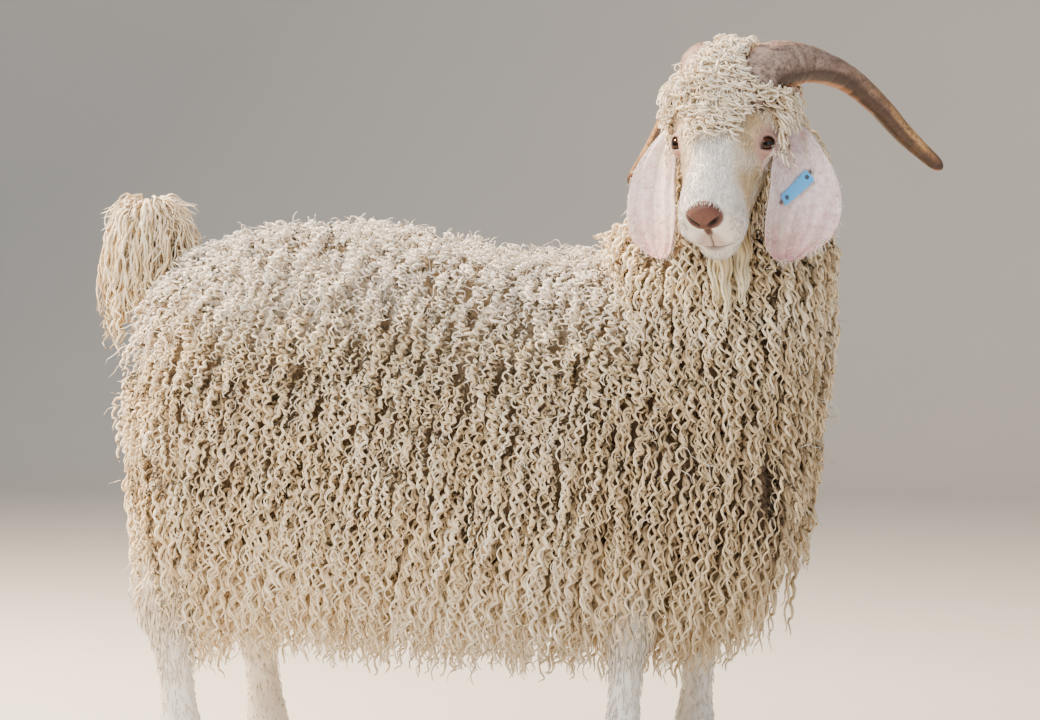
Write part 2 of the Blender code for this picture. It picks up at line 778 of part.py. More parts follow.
def ear_line(side):
    points = EAR_LEFT if side == "left" else EAR_RIGHT
    return lambda s: yawed(side, *smooth_line(points, s))


def ear_frame(side):
    sign = SIDES[side]
    across = turned((-math.sin(EAR_TURN), sign * math.cos(EAR_TURN), 0), YAW_FRAME)
    front = turned((math.cos(EAR_TURN), sign * math.sin(EAR_TURN), 0), YAW_FRAME)
    return across, front


def ear_point(side, s, t, lift, extra=0.0):
    """Point at share s of the ear's length and t, -1 to 1, across it, lift in front of its middle sheet."""
    across, front = ear_frame(side)
    width = along(EAR_WIDTH, s)[0]
    cup = EAR_CUP * (t * t - 0.4) * min(1.0, width / 0.045)
    return ear_line(side)(s) + across * (width + extra) * t + front * (cup + lift)


def ear(name, side, extra=0.0, room=0.0):
    """The ear, or with extra and room the space around it and in front of it."""
    rings = []
    steps = [-1 + 2 * i / 6 for i in range(7)]
    for row in range(EAR_ROWS):
        s = row / (EAR_ROWS - 1)
        thick = EAR_THICK * (2.2 - 1.4 * min(1.0, s * 3)) / 2
        ring = []
        for sign, order in ((1, steps), (-1, steps[::-1])):
            for t in order:
                lift = sign * (thick * (1 - 0.75 * abs(t) ** 3) + extra) + room * (sign > 0)
                ring.append(ear_point(side, s, t, lift, extra))
        rings.append(ring)
    return loft(name, deepened(rings, extra))


def ear_tag():
    """A strip on the front of the left ear, bent as the ear is."""
    length, width, thick = TAG_SIZE
    half = along(EAR_WIDTH, TAG_AT[0])[0]
    rings = []
    for i in range(7):
        run = length * (i / 6 - 0.5)
        ring = []
        for rise, step in ((0, (-0.5, 0, 0.5)), (1, (0.5, 0, -0.5))):
            for w in step:
                over = w * width
                s = TAG_AT[0] - (run * math.sin(TAG_TURN) - over * math.cos(TAG_TURN)) / EAR_LENGTH
                t = TAG_AT[1] + (run * math.cos(TAG_TURN) + over * math.sin(TAG_TURN)) / half
                ring.append(ear_point("left", s, t, EAR_THICK / 2 + 2 * GAP + rise * thick))
        rings.append(ring)
    return loft("ear_tag", rings)


def leg(name, place, side, extra=0.0):
    sections = FORE_LEG if place == "fore" else HIND_LEG
    x = (FORE_X if place == "fore" else HIND_X)[side]
    rings = []
    for z, shift, long_half, wide_half in sections:
        top = extra if z == sections[-1][0] else 0.0
        rings.append([
            Vector((
                x + shift + (long_half + extra) * math.cos(a),
                LEG_Y[side] + (wide_half + extra) * math.sin(a),
                z + top,
            ))
            for a in ring_angles(12)
        ])
    return loft(name, rings)


def hoof(name, place, side):
    """Two claws with flat soles, joined under the pastern."""
    x = (FORE_X if place == "fore" else HIND_X)[side] + HOOF_TOE
    claws = []
    for sign in (-1, 1):
        rings = []
        for z, length, width in HOOF:
            lean = -0.20 * z
            rings.append([
                Vector((
                    x + lean + length * math.cos(a) * (1.0 if math.cos(a) > 0 else 0.72),
                    LEG_Y[side] + sign * (HOOF_SPLIT + width / 2 + width / 2 * math.sin(a) * sign),
                    z - (GAP if z == HOOF[-1][0] else 0.0),
                ))
                for a in ring_angles(8)
            ])
        claws.append(loft("claw", rings))
    bridge = ball("bridge", (x - 0.012, LEG_Y[side], 0.022), (0.014, 0.010, 0.012), Matrix(), 8, 6)
    obj = claws[0]
    obj.name = name
    return boolean(obj, "UNION", [claws[1], bridge])


def tail(name):
    rings = []
    for x, z, radius in TAIL:
        rings.append([Vector((x + radius * math.cos(a), radius * math.sin(a), z)) for a in ring_angles(10)])
    return boolean(loft(name, rings), "UNION", plume())


def nape(name, level, upward):
    """All that lies above, or below, a level of the head."""
    return slab(name, HEAD_FRAME @ Vector((0, 0, level)), turned((0, 0, upward)))


def stand_on_origin(objects):
    """Moves the ram so that the middle of its box is over the origin and its soles are on the floor."""
    points = [vert.co for obj in objects for vert in obj.data.vertices]
    low = [min(point[k] for point in points) for k in range(3)]
    high = [max(point[k] for point in points) for k in range(3)]
    shift = Vector((-(low[0] + high[0]) / 2, -(low[1] + high[1]) / 2, -low[2]))
    for obj in objects:
        obj.data.transform(Matrix.Translation(shift))


def build():
    clear_scene()
    random.seed(SEED)
    whole = trunk()

    nodes = []
    point, normal = Vector(NECK_PLANE[0]), Vector(NECK_PLANE[1]).normalized()
    neck = copy_of(whole, "neck")
    boolean(neck, "DIFFERENCE", [slab("below", point + normal * GAP / 2, -normal)])
    boolean(neck, "DIFFERENCE", [nape("above", NAPE_LEVEL - GAP, 1)])
    boolean(neck, "DIFFERENCE", [head_core("jaw", GAP)])
    torso = whole
    boolean(torso, "DIFFERENCE", [slab("above", point - normal * GAP / 2, normal)])

    seat = slab("seat", (0, 0, TAIL_SEAT[1]), (0, 0, 1))
    boolean(seat, "DIFFERENCE", [slab("ahead", (TAIL_SEAT[0], 0, 0), (1, 0, 0))])
    boolean(torso, "DIFFERENCE", [seat])
    tail_node = tail("tail")
    boolean(tail_node, "DIFFERENCE", [slab("under", (0, 0, TAIL_SEAT[1] + GAP), (0, 0, -1))])

    wool = boolean(topknot(), "UNION", curls())
    boolean(wool, "DIFFERENCE", [nape("below", NAPE_LEVEL, -1)])
    head = head_core("head")
    boolean(head, "DIFFERENCE", [orbit(side) for side in SIDES])
    boolean(head, "UNION", [wool] + lips())
    boolean(head, "UNION", [lid(side) for side in SIDES] + beard())
    boolean(head, "DIFFERENCE", [mouth()] + nostrils())
    boolean(head, "DIFFERENCE", [eye_ball("socket", side, GAP) for side in SIDES])
    boolean(head, "DIFFERENCE", [horn("pocket", side, GAP) for side in SIDES])
    boolean(head, "DIFFERENCE", [ear("pocket", side, GAP) for side in SIDES])
    boolean(neck, "DIFFERENCE", [horn("pocket", side, GAP) for side in SIDES])
    boolean(neck, "DIFFERENCE", [ear("room", side, GAP, EAR_ROOM) for side in SIDES] + beard(6 * GAP))

    for side in SIDES:
        nodes.append(finish(horn("horn_" + side, side), "horn"))
        nodes.append(finish(ear("ear_" + side, side), "ear"))
        nodes.append(finish(eye_ball("eye_" + side, side), "eye"))
        for place in ("fore", "hind"):
            boolean(torso, "DIFFERENCE", [leg("socket", place, side, GAP)])
            nodes.append(finish(leg(f"leg_{place}_{side}", place, side), "fleece"))
            nodes.append(finish(hoof(f"hoof_{place}_{side}", place, side), "hoof"))
    nodes.append(finish(ear_tag(), "tag"))
    nodes += [finish(body, "fleece") for body in (torso, neck, tail_node)]
    nodes.append(finish(head, "face"))
    stand_on_origin(nodes)


build()
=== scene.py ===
"""Looks of the Angora ram: skin, fleece, curls, horns, eyes, hooves and ear tag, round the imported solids.

Shapes are worked out on the solids' own datum, the middle of the trunk on the floor. SHIFT carries them
to the frame, where the ram's box stands on the origin.
"""

import math

import bpy
import numpy as np
from mathutils import Matrix, Vector
from mathutils.bvhtree import BVHTree


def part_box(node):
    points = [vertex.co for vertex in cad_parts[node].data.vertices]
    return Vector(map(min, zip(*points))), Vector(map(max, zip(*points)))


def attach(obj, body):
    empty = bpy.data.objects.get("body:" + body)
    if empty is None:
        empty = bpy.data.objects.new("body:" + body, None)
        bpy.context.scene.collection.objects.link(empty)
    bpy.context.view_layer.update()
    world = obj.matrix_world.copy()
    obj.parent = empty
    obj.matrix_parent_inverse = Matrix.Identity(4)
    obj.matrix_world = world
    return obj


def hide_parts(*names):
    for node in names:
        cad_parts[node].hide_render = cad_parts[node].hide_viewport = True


bl_info = {
    "name": "Angora Ram",
    "version": (1, 0, 0),
    "blender": (4, 5, 0),
    "location": "3D View > Sidebar > Angora",
    "description": "Builds the skin, fleece, horns and eyes of a standing Angora ram",
    "category": "Object",
}

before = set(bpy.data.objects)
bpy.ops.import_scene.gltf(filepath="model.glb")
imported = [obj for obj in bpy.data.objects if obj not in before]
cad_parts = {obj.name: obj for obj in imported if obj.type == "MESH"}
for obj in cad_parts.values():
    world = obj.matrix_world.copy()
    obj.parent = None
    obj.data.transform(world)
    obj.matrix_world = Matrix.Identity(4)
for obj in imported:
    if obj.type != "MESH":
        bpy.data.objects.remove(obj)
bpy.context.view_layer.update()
SEED = 7

# Trunk: x, top, bottom, half width
TORSO = (
    (-0.428, 0.585, 0.385, 0.080),
    (-0.405, 0.640, 0.335, 0.128),
    (-0.330, 0.682, 0.305, 0.160),
    (-0.200, 0.702, 0.295, 0.176),
    (-0.060, 0.684, 0.288, 0.182),
    (0.070, 0.660, 0.285, 0.178),
    (0.190, 0.672, 0.290, 0.162),
    (0.290, 0.620, 0.300, 0.140),
    (0.360, 0.540, 0.330, 0.100),
)
TORSO_WIDEST = 0.48
TORSO_SQUARE = 0.82

# Neck: z, back x, front x, centre y, half width
NECK = (
    (0.315, 0.160, 0.335, 0.000, 0.090),
    (0.360, 0.130, 0.362, 0.000, 0.120),
    (0.420, 0.118, 0.376, 0.000, 0.135),
    (0.500, 0.110, 0.386, 0.000, 0.145),
    (0.600, 0.140, 0.396, -0.004, 0.138),
    (0.680, 0.185, 0.400, -0.015, 0.118),
    (0.750, 0.222, 0.408, -0.034, 0.092),
    (0.800, 0.240, 0.402, -0.048, 0.082),
    (0.850, 0.252, 0.392, -0.066, 0.072),
    (0.890, 0.268, 0.372, -0.082, 0.055),
)
NECK_SQUARE = 0.90

# Head, in its own axes: f towards the nose, l to its left, u up, from the middle of the eyes
HEAD_AT = Vector((0.315, -0.175, 0.833))
HEAD_YAW = math.radians(-99)
HEAD_PITCH = math.radians(45)
HEAD = (  # f, half width, top, bottom, height of the widest line, taper of the jaw
    (-0.150, 0.034, -0.032, -0.088, -0.056, 0.10),
    (-0.130, 0.048, -0.004, -0.102, -0.040, 0.15),
    (-0.105, 0.056, 0.020, -0.108, -0.025, 0.20),
    (-0.085, 0.060, 0.034, -0.110, -0.015, 0.20),
    (-0.055, 0.064, 0.044, -0.110, -0.008, 0.30),
    (-0.025, 0.066, 0.047, -0.104, 0.000, 0.38),
    (0.005, 0.061, 0.044, -0.099, 0.000, 0.40),
    (0.035, 0.049, 0.038, -0.094, -0.010, 0.36),
    (0.065, 0.042, 0.031, -0.088, -0.022, 0.28),
    (0.090, 0.041, 0.026, -0.084, -0.030, 0.18),
    (0.108, 0.040, 0.020, -0.081, -0.032, 0.14),
    (0.120, 0.035, 0.012, -0.074, -0.032, 0.12),
    (0.128, 0.020, -0.004, -0.058, -0.030, 0.10),
)
HEAD_LEAN = 0.20
HEAD_LEAN_FROM = 0.050

EYE_AT = (0.004, 0.0505, 0.0)
EYE_RADIUS = 0.0145
EYE_TURN = math.radians(44)

# Horns and ears, root to tip, in the yawed frame of the head: to the side, back, up
HORNS = {
    "left": (
        (0.029, -0.012, 0.042),
        (0.044, 0.026, 0.086),
        (0.066, 0.066, 0.099),
        (0.092, 0.100, 0.097),
        (0.122, 0.140, 0.082),
        (0.154, 0.175, 0.050),
        (0.185, 0.203, 0.010),
        (0.227, 0.225, -0.032),
    ),
    "right": (
        (0.029, -0.012, 0.042),
        (0.037, 0.026, 0.085),
        (0.045, 0.066, 0.098),
        (0.061, 0.106, 0.102),
        (0.083, 0.155, 0.086),
        (0.110, 0.198, 0.058),
        (0.150, 0.240, 0.004),
        (0.194, 0.262, -0.050),
    ),
}
HORN_GIRTH = (  # share of the length, half width, half thickness
    (0.00, 0.0310, 0.0235),
    (0.29, 0.0295, 0.0235),
    (0.43, 0.0245, 0.0210),
    (0.57, 0.0200, 0.0175),
    (0.71, 0.0168, 0.0150),
    (0.86, 0.0138, 0.0125),
    (1.00, 0.0090, 0.0085),
)
HORN_TWIST = math.radians(100)
EARS = {
    "left": (
        (0.050, 0.056, 0.040),
        (0.073, 0.046, 0.014),
        (0.084, 0.034, -0.022),
        (0.091, 0.027, -0.064),
        (0.087, 0.020, -0.106),
        (0.074, 0.015, -0.147),
    ),
    "right": (
        (0.050, 0.056, 0.040),
        (0.072, 0.046, 0.014),
        (0.084, 0.034, -0.022),
        (0.088, 0.027, -0.064),
        (0.086, 0.020, -0.106),
        (0.082, 0.015, -0.144),
    ),
}
EAR_WIDTH = (  # share of the length, half width
    (0.00, 0.016),
    (0.15, 0.020),
    (0.30, 0.030),
    (0.45, 0.041),
    (0.60, 0.048),
    (0.74, 0.050),
    (0.87, 0.043),
    (0.95, 0.028),
    (0.985, 0.016),
    (1.00, 0.008),
)
EAR_LENGTH = 0.200
EAR_THICK = 0.0045
EAR_TURN = math.radians(39)
EAR_CUP = 0.016
TAG_AT = (0.56, -0.08)
TAG_SIZE = (0.050, 0.0160, 0.0016)
TAG_TURN = math.radians(38)

TAIL = ((-0.432, 0.630, 0.038), (-0.443, 0.680, 0.031), (-0.446, 0.712, 0.024), (-0.445, 0.738, 0.014))

# Legs: sections are z, x from the hoof, half length, half width
FORE_X = {"right": 0.190, "left": 0.262}
HIND_X = {"right": -0.372, "left": -0.300}
LEG_Y = {"right": -0.098, "left": 0.098}
FORE_LEG = (
    (0.036, 0.000, 0.026, 0.024),
    (0.062, -0.006, 0.024, 0.022),
    (0.088, -0.010, 0.027, 0.024),
    (0.120, -0.008, 0.021, 0.019),
    (0.180, -0.004, 0.021, 0.019),
    (0.215, 0.000, 0.027, 0.025),
    (0.245, 0.000, 0.029, 0.027),
    (0.275, -0.004, 0.031, 0.029),
    (0.335, -0.010, 0.044, 0.038),
)
HIND_LEG = (
    (0.036, 0.000, 0.026, 0.024),
    (0.062, -0.006, 0.024, 0.022),
    (0.090, -0.012, 0.027, 0.024),
    (0.125, -0.016, 0.022, 0.019),
    (0.190, -0.024, 0.023, 0.020),
    (0.235, -0.032, 0.031, 0.024),
    (0.268, -0.030, 0.037, 0.026),
    (0.300, -0.008, 0.045, 0.029),
    (0.350, 0.014, 0.058, 0.036),
)
HOOF = ((0.0, 0.036, 0.021), (0.012, 0.034, 0.0205), (0.036, 0.024, 0.0175))
HOOF_SPLIT = 0.0022
HOOF_TOE = 0.007

SIDES = {"left": 1, "right": -1}
YAW_FRAME = Matrix.Translation(HEAD_AT) @ Matrix.Rotation(HEAD_YAW, 4, "Z")
HEAD_FRAME = YAW_FRAME @ Matrix.Rotation(HEAD_PITCH, 4, "Y")
HEAD_TURN = np.array(HEAD_FRAME.to_3x3())
YAW_TURN = np.array(YAW_FRAME.to_3x3())

EYE_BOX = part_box("eye_left")
SHIFT = np.array((EYE_BOX[0] + EYE_BOX[1]) / 2 - HEAD_FRAME @ Vector(EYE_AT))


# Shapes that the skin and the coat share with the solids


def along(table, t):
    """Rows of a table at t, its first column, on a smooth curve through the rows."""
    table = np.asarray(table, float)
    keys, values = table[:, 0], table[:, 1:]
    t = np.clip(np.asarray(t, float), keys[0], keys[-1])
    i = np.clip(np.searchsorted(keys, t, side="right") - 1, 0, len(keys) - 2)
    low, high = np.maximum(i - 1, 0), np.minimum(i + 2, len(keys) - 1)
    step = keys[i + 1] - keys[i]
    s = ((t - keys[i]) / step)[..., None]
    start = (values[i + 1] - values[low]) * (step / (keys[i + 1] - keys[low]))[..., None]
    end = (values[high] - values[i]) * (step / (keys[high] - keys[i]))[..., None]
    s2, s3 = s * s, s ** 3
    ahead = values[i] * (2 * s3 - 3 * s2 + 1) + start * (s3 - 2 * s2 + s)
    return ahead + values[i + 1] * (3 * s2 - 2 * s3) + end * (s3 - s2)


def columns(table, t):
    return np.moveaxis(along(table, t), -1, 0)


def power(value, exponent):
    return np.sign(value) * np.abs(value) ** exponent


def step_up(value, low, high):
    """0 below low, 1 above high, smooth between."""
    t = np.clip((np.asarray(value, float) - low) / (high - low), 0, 1)
    return t * t * (3 - 2 * t)


def unit(vectors):
    return vectors / np.maximum(np.linalg.norm(vectors, axis=-1, keepdims=True), 1e-9)


def dot(a, b):
    return (a * b).sum(-1, keepdims=True)


def torso_point(x, angle, lift=0.0):
    """Points round the trunk at x, by the angle from its left side upwards."""
    top, bottom, half = columns(TORSO, x)
    middle = bottom + TORSO_WIDEST * (top - bottom)
    rise = np.where(np.sin(angle) > 0, top - middle, middle - bottom) + lift
    side = (half + lift) * power(np.cos(angle), TORSO_SQUARE)
    return np.stack([x + 0 * angle, side, middle + rise * power(np.sin(angle), TORSO_SQUARE)], -1)


def neck_point(z, angle, lift=0.0):
    """Points round the neck at the height z, by the angle from its front."""
    back, front, centre, half = columns(NECK, z)
    reach = (front - back) / 2 + lift
    x = (front + back) / 2 + reach * power(np.cos(angle), NECK_SQUARE)
    return np.stack([x, centre + (half + lift) * power(np.sin(angle), NECK_SQUARE), z + 0 * angle], -1)


def from_head(local):
    return np.asarray(local) @ HEAD_TURN.T + np.array(HEAD_AT)


def to_head(points):
    return (np.asarray(points) - np.array(HEAD_AT)) @ HEAD_TURN


def yawed(side, rows):
    rows = np.asarray(rows, float)
    local = np.stack([-rows[..., 1], SIDES[side] * rows[..., 0], rows[..., 2]], -1)
    return local @ YAW_TURN.T + np.array(HEAD_AT)


def head_point(f, angle, lift=0.0):
    """Points round the head at f, by the angle from its left side upwards."""
    half, top, bottom, widest, taper = columns(HEAD, f)
    rise = np.sin(angle)
    up = widest + (np.where(rise > 0, top - widest, widest - bottom) + lift) * power(rise, 0.9)
    out = (half + lift) * power(np.cos(angle), 0.85) * (1 - taper * np.maximum(0.0, -rise))
    lean = HEAD_LEAN * np.maximum(0.0, f - HEAD_LEAN_FROM) / (HEAD[-1][0] - HEAD_LEAN_FROM)
    return from_head(np.stack([f + lean * (up - widest), out, up], -1))


def smooth_line(points, t):
    """Points at shares t of a smooth curve through points."""
    shares = np.linspace(0, 1, len(points))[:, None]
    return along(np.hstack([shares, np.asarray(points, float)]), t)


def horn_line(side, t):
    return yawed(side, smooth_line(HORNS[side], t))


def ear_axes(side):
    sign = SIDES[side]
    across = YAW_TURN @ np.array((-math.sin(EAR_TURN), sign * math.cos(EAR_TURN), 0))
    front = YAW_TURN @ np.array((math.cos(EAR_TURN), sign * math.sin(EAR_TURN), 0))
    return across, front


def ear_cup(width, t):
    return EAR_CUP * (t * t - 0.4) * np.minimum(1.0, width / 0.045)


def ear_point(side, s, t, lift):
    """Points at share s of the ear's length and t, -1 to 1, across it, lift in front of its middle sheet."""
    across, front = ear_axes(side)
    width = along(EAR_WIDTH, s)[..., 0]
    out = (ear_cup(width, t) + lift)[..., None] * front
    return yawed(side, smooth_line(EARS[side], s)) + (width * t)[..., None] * across + out


def ear_place(side, points):
    """Share of the length, place across and distance in front of the ear's sheet, for points near it."""
    across, front = ear_axes(side)
    shares = np.linspace(0, 1, 60)
    line = yawed(side, smooth_line(EARS[side], shares))
    s = np.interp(-points[..., 2], -line[:, 2], shares)
    beyond = np.maximum(line[-1, 2] - points[..., 2], points[..., 2] - line[0, 2])
    away = points - yawed(side, smooth_line(EARS[side], s))
    width = along(EAR_WIDTH, s)[..., 0]
    t = away @ across / width
    return s, t, away @ front - ear_cup(width, t), beyond


# Meshes


def rings_joined(rows, count):
    """Quads between closed rings of points one after another, with the row and the place of each."""
    i, j = np.meshgrid(np.arange(rows), np.arange(count), indexing="ij")
    here, after = i * count + j, i * count + (j + 1) % count
    return np.stack([here, after, after + count, here + count], -1).reshape(-1, 4), i, j


def loft(rings):
    """Points and faces of a closed skin through rings, capped by a fan at each end."""
    rows, count = rings.shape[:2]
    ends = np.stack([rings[0].mean(0), rings[-1].mean(0)])
    points = np.concatenate([rings.reshape(-1, 3), ends])
    k = np.arange(count)
    last = (rows - 1) * count
    low = np.stack([np.full(count, rows * count), (k + 1) % count, k], -1)
    high = np.stack([np.full(count, rows * count + 1), last + k, last + (k + 1) % count], -1)
    return points, rings_joined(rows - 1, count)[0], np.concatenate([low, high])


def outward(points, *faces):
    """A closed form with its faces turned outwards."""
    fans = [(face, k) for face in faces for k in range(1, face.shape[1] - 1)]
    volume = sum((np.cross(points[f[:, 0]], points[f[:, k]]) * points[f[:, k + 1]]).sum() for f, k in fans)
    return (points, *(face if volume > 0 else face[:, ::-1] for face in faces))


def around(count):
    """Even angles of a full turn."""
    return np.arange(count) * 2 * math.pi / count


def ball(centre, radii, turn=np.eye(3)):
    """Points and faces of a closed ball with the given radii along the turned axes."""
    polar = np.radians(np.linspace(4, 176, 14))[:, None]
    a = around(16)[None, :]
    local = np.stack([np.sin(polar) * np.cos(a), np.sin(polar) * np.sin(a), np.cos(polar) + 0 * a], -1)
    return loft(local * np.array(radii) @ np.asarray(turn).T + np.asarray(centre))
def head_ball(place, radii):
    """A ball at a place of the head, along its axes."""
    return ball(HEAD_FRAME @ Vector(place), radii, HEAD_TURN)

def mesh_object(name, points, *faces):
    """A mesh object on the frame's datum from points and arrays of triangles or quads."""
    mesh = bpy.data.meshes.new(name)
    mesh.vertices.add(len(points))
    mesh.vertices.foreach_set("co", (points + SHIFT).astype(np.float32).ravel())
    corners = np.concatenate([group.ravel() for group in faces]).astype(np.int32)
    sizes = np.concatenate([np.full(len(group), group.shape[1]) for group in faces])
    mesh.loops.add(len(corners))
    mesh.loops.foreach_set("vertex_index", corners)
    mesh.polygons.add(len(sizes))
    mesh.polygons.foreach_set("loop_start", np.concatenate([[0], np.cumsum(sizes)[:-1]]).astype(np.int32))
    mesh.update(calc_edges=True)
    obj = bpy.data.objects.new(name, mesh)
    bpy.context.scene.collection.objects.link(obj)
    return obj


def merged(parts):
    """Points, quads and triangles of several closed forms as one set."""
    points, quads, tris, count = [], [], [], 0
    for part in parts:
        points.append(part[0])
        quads.append(part[1] + count)
        tris.append(part[2] + count)
        count += len(part[0])
    return np.concatenate(points), np.concatenate(quads), np.concatenate(tris)


def select_only(obj):
    bpy.ops.object.select_all(action="DESELECT")
    obj.select_set(True)
    bpy.context.view_layer.objects.active = obj


def apply_all(obj):
    select_only(obj)
    for modifier in list(obj.modifiers):
        bpy.ops.object.modifier_apply(modifier=modifier.name)


def remeshed(name, parts, voxel, rounds):
    """One smooth skin round overlapping closed forms."""
    obj = mesh_object(name, *merged(parts))
    remesh = obj.modifiers.new("one skin", "REMESH")
    remesh.mode = "VOXEL"
    remesh.voxel_size = voxel
    smooth = obj.modifiers.new("soften", "SMOOTH")
    smooth.iterations = rounds
    smooth.factor = 0.5
    apply_all(obj)
    return obj


def vertex_rows(obj, key):
    found = np.empty(len(obj.data.vertices) * 3, np.float32)
    obj.data.vertices.foreach_get(key, found)
    return found.reshape(-1, 3).astype(float)


def points_of(obj):
    return vertex_rows(obj, "co") - SHIFT


def normals_of(obj):
    return vertex_rows(obj, "normal")


def place_points(obj, points):
    obj.data.vertices.foreach_set("co", (points + SHIFT).astype(np.float32).ravel())
    obj.data.update()


def attribute(obj, name, values):
    layer = obj.data.attributes.new(name, "FLOAT", "POINT")
    layer.data.foreach_set("value", np.asarray(values, np.float32))


def dress(obj, material, *nodes):
    """Gives a finished piece its material, its body and the solids that it stands for."""
    obj.data.materials.clear()
    obj.data.materials.append(material)
    obj.data.shade_smooth()
    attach(obj, "root")
    if nodes:
        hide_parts(*nodes)
    return obj


# Colours and materials


def linear(hex_colour):
    """sRGB hex to linear RGBA."""
    values = [int(hex_colour[i:i + 2], 16) / 255 for i in (1, 3, 5)]
    return (*[v / 12.92 if v <= 0.04045 else ((v + 0.055) / 1.055) ** 2.4 for v in values], 1.0)


def rgba(value):
    """Linear RGBA of a hex colour, of a share of white, or of a colour that is ready."""
    if isinstance(value, str):
        return linear(value)
    return (value, value, value, 1.0) if isinstance(value, (int, float)) else value


def fill(tree, made, inputs):
    """Sets inputs of a node to values, or links them to sockets."""
    for key, value in inputs.items():
        if isinstance(value, bpy.types.NodeSocket):
            tree.links.new(value, made.inputs[key])
        else:
            made.inputs[key].default_value = value


def node(tree, kind, inputs=None, stops=None, **settings):
    """Adds a node with its settings, its values or links, and the stops of a ramp."""
    made = tree.nodes.new(kind)
    for key, value in settings.items():
        setattr(made, key, value)
    fill(tree, made, inputs or {})
    if stops:
        ramp = made.color_ramp.elements
        while len(ramp) < len(stops):
            ramp.new(0.5)
        for element, (place, colour) in zip(ramp, stops):
            element.position = place
            element.color = rgba(colour)
    return made


def material_of(name, build, *details):
    """The material of that name, built on its node tree and its shader at its first use."""
    found = bpy.data.materials.get(name)
    if found is None:
        found = bpy.data.materials.new(name)
        found.use_nodes = True
        build(found.node_tree, found.node_tree.nodes["Principled BSDF"], *details)
    return found


# Lines that locks follow


def guide_of(parts, voxel):
    """A search tree over the one skin round overlapping forms."""
    obj = remeshed("guide", parts, voxel, 4)
    faces = [tuple(face.vertices) for face in obj.data.polygons]
    tree = BVHTree.FromPolygons(points_of(obj).tolist(), faces)
    bpy.data.objects.remove(obj, do_unlink=True)
    return tree


def spaced(points, keys, pitch, offset):
    """Keys at even steps along a line of points."""
    run = np.concatenate([[0], np.cumsum(np.linalg.norm(np.diff(points, axis=0), axis=1))])
    return np.interp(np.arange(pitch * (0.5 + offset), run[-1], pitch), run, keys)


def roots_on(surface, rows, first, last, pitch, random):
    """Places in staggered rows on a surface: row value, angle."""
    found = []
    fine = np.linspace(first, last, 400)
    for k, row in enumerate(rows):
        angles = spaced(surface(np.full(400, row), fine), fine, pitch, 0.5 * (k % 2) - 0.25)
        found.append(np.stack([np.full(len(angles), row), angles], -1))
    found = np.concatenate(found)
    return found + random.uniform(-0.12, 0.12, found.shape) * [pitch, pitch / 0.15]


MARCH_STEPS = 8


def march(guide, roots, lean, spread, length, rise, run_up=0.032):
    """Lines that rise from their roots and lie along the surface by their lean, or hang clear of it."""
    lines = np.empty((len(roots), MARCH_STEPS, 3))
    outs = np.empty_like(lines)
    for i, root in enumerate(roots):
        point, pull, side = Vector(root), Vector(lean[i]), Vector(spread[i])
        step = length[i] / (MARCH_STEPS - 1)
        for k in range(MARCH_STEPS):
            near, normal, _, _ = guide.find_nearest(point)
            t = min(1.0, k * step / run_up)
            wanted = rise[i] * t * (2 - t)
            height = (point - near).dot(normal)
            if height < wanted or normal.z > -0.25:
                point = point + normal * (wanted - height)
            lines[i, k] = point
            outs[i, k] = normal
            ahead = pull + side * max(0.0, normal.z)
            into = ahead.dot(normal)
            if into < 0:
                ahead = ahead - normal * into
            point = point + ahead.normalized() * step
    return lines, outs


def resampled(lines, rows):
    """The same lines with another number of points, on smooth curves."""
    steps = lines.shape[1]
    t = np.linspace(0, steps - 1, rows)
    i = np.minimum(t.astype(int), steps - 2)
    s = (t - i)[None, :, None]
    before, a, b, after = (lines[:, np.clip(i + k, 0, steps - 1)] for k in (-1, 0, 1, 2))
    curve = 2 * a + (b - before) * s + (2 * before - 5 * a + 4 * b - after) * s ** 2
    return (curve + (3 * a - before - 3 * b + after) * s ** 3) / 2


def axes_of(lines, outs):
    ahead = unit(np.gradient(lines, axis=1))
    side = unit(np.cross(outs, ahead))
    return ahead, side, np.cross(ahead, side)


def coiled(lines, outs, radius, period, phase, flat=0.7, tilt=0.0):
    """Winds lines round themselves, with turns tilted along them, and gives the way out of the winding."""
    ahead, side, over = axes_of(lines, outs)
    over = over * math.cos(tilt) + ahead * math.sin(tilt)
    run = np.cumsum(np.linalg.norm(np.diff(lines, axis=1, prepend=lines[:, :1]), axis=-1), axis=1)
    swing = radius[:, None] * step_up(run, 0, 0.02)
    turn = phase[:, None] + 2 * math.pi * run / period[:, None]
    away = side * np.sin(turn)[..., None] + over * np.cos(turn)[..., None]
    moved = side * (swing * np.sin(turn))[..., None] + over * (flat * swing * np.cos(turn))[..., None]
    return lines + moved, away


def wound(random, lines, outs, rows, radius, period, width, flat, tilt):
    """Lines of curls by random radii and periods, their way out of the winding and their random widths."""
    count = len(lines)
    lines, outs = resampled(lines, rows), unit(resampled(outs, rows))
    radius, period = random.uniform(*radius, count), random.uniform(*period, count)
    lines, away = coiled(lines, outs, radius, period, random.uniform(0, 7, count), flat, tilt)
    return lines, away, random.uniform(*width, count)


LOCK_SIDES = 3
LOCK_SHAPE = ((0.0, 0.55), (0.12, 1.0), (0.55, 0.95), (0.85, 0.62), (1.0, 0.2))  # share of length, of width


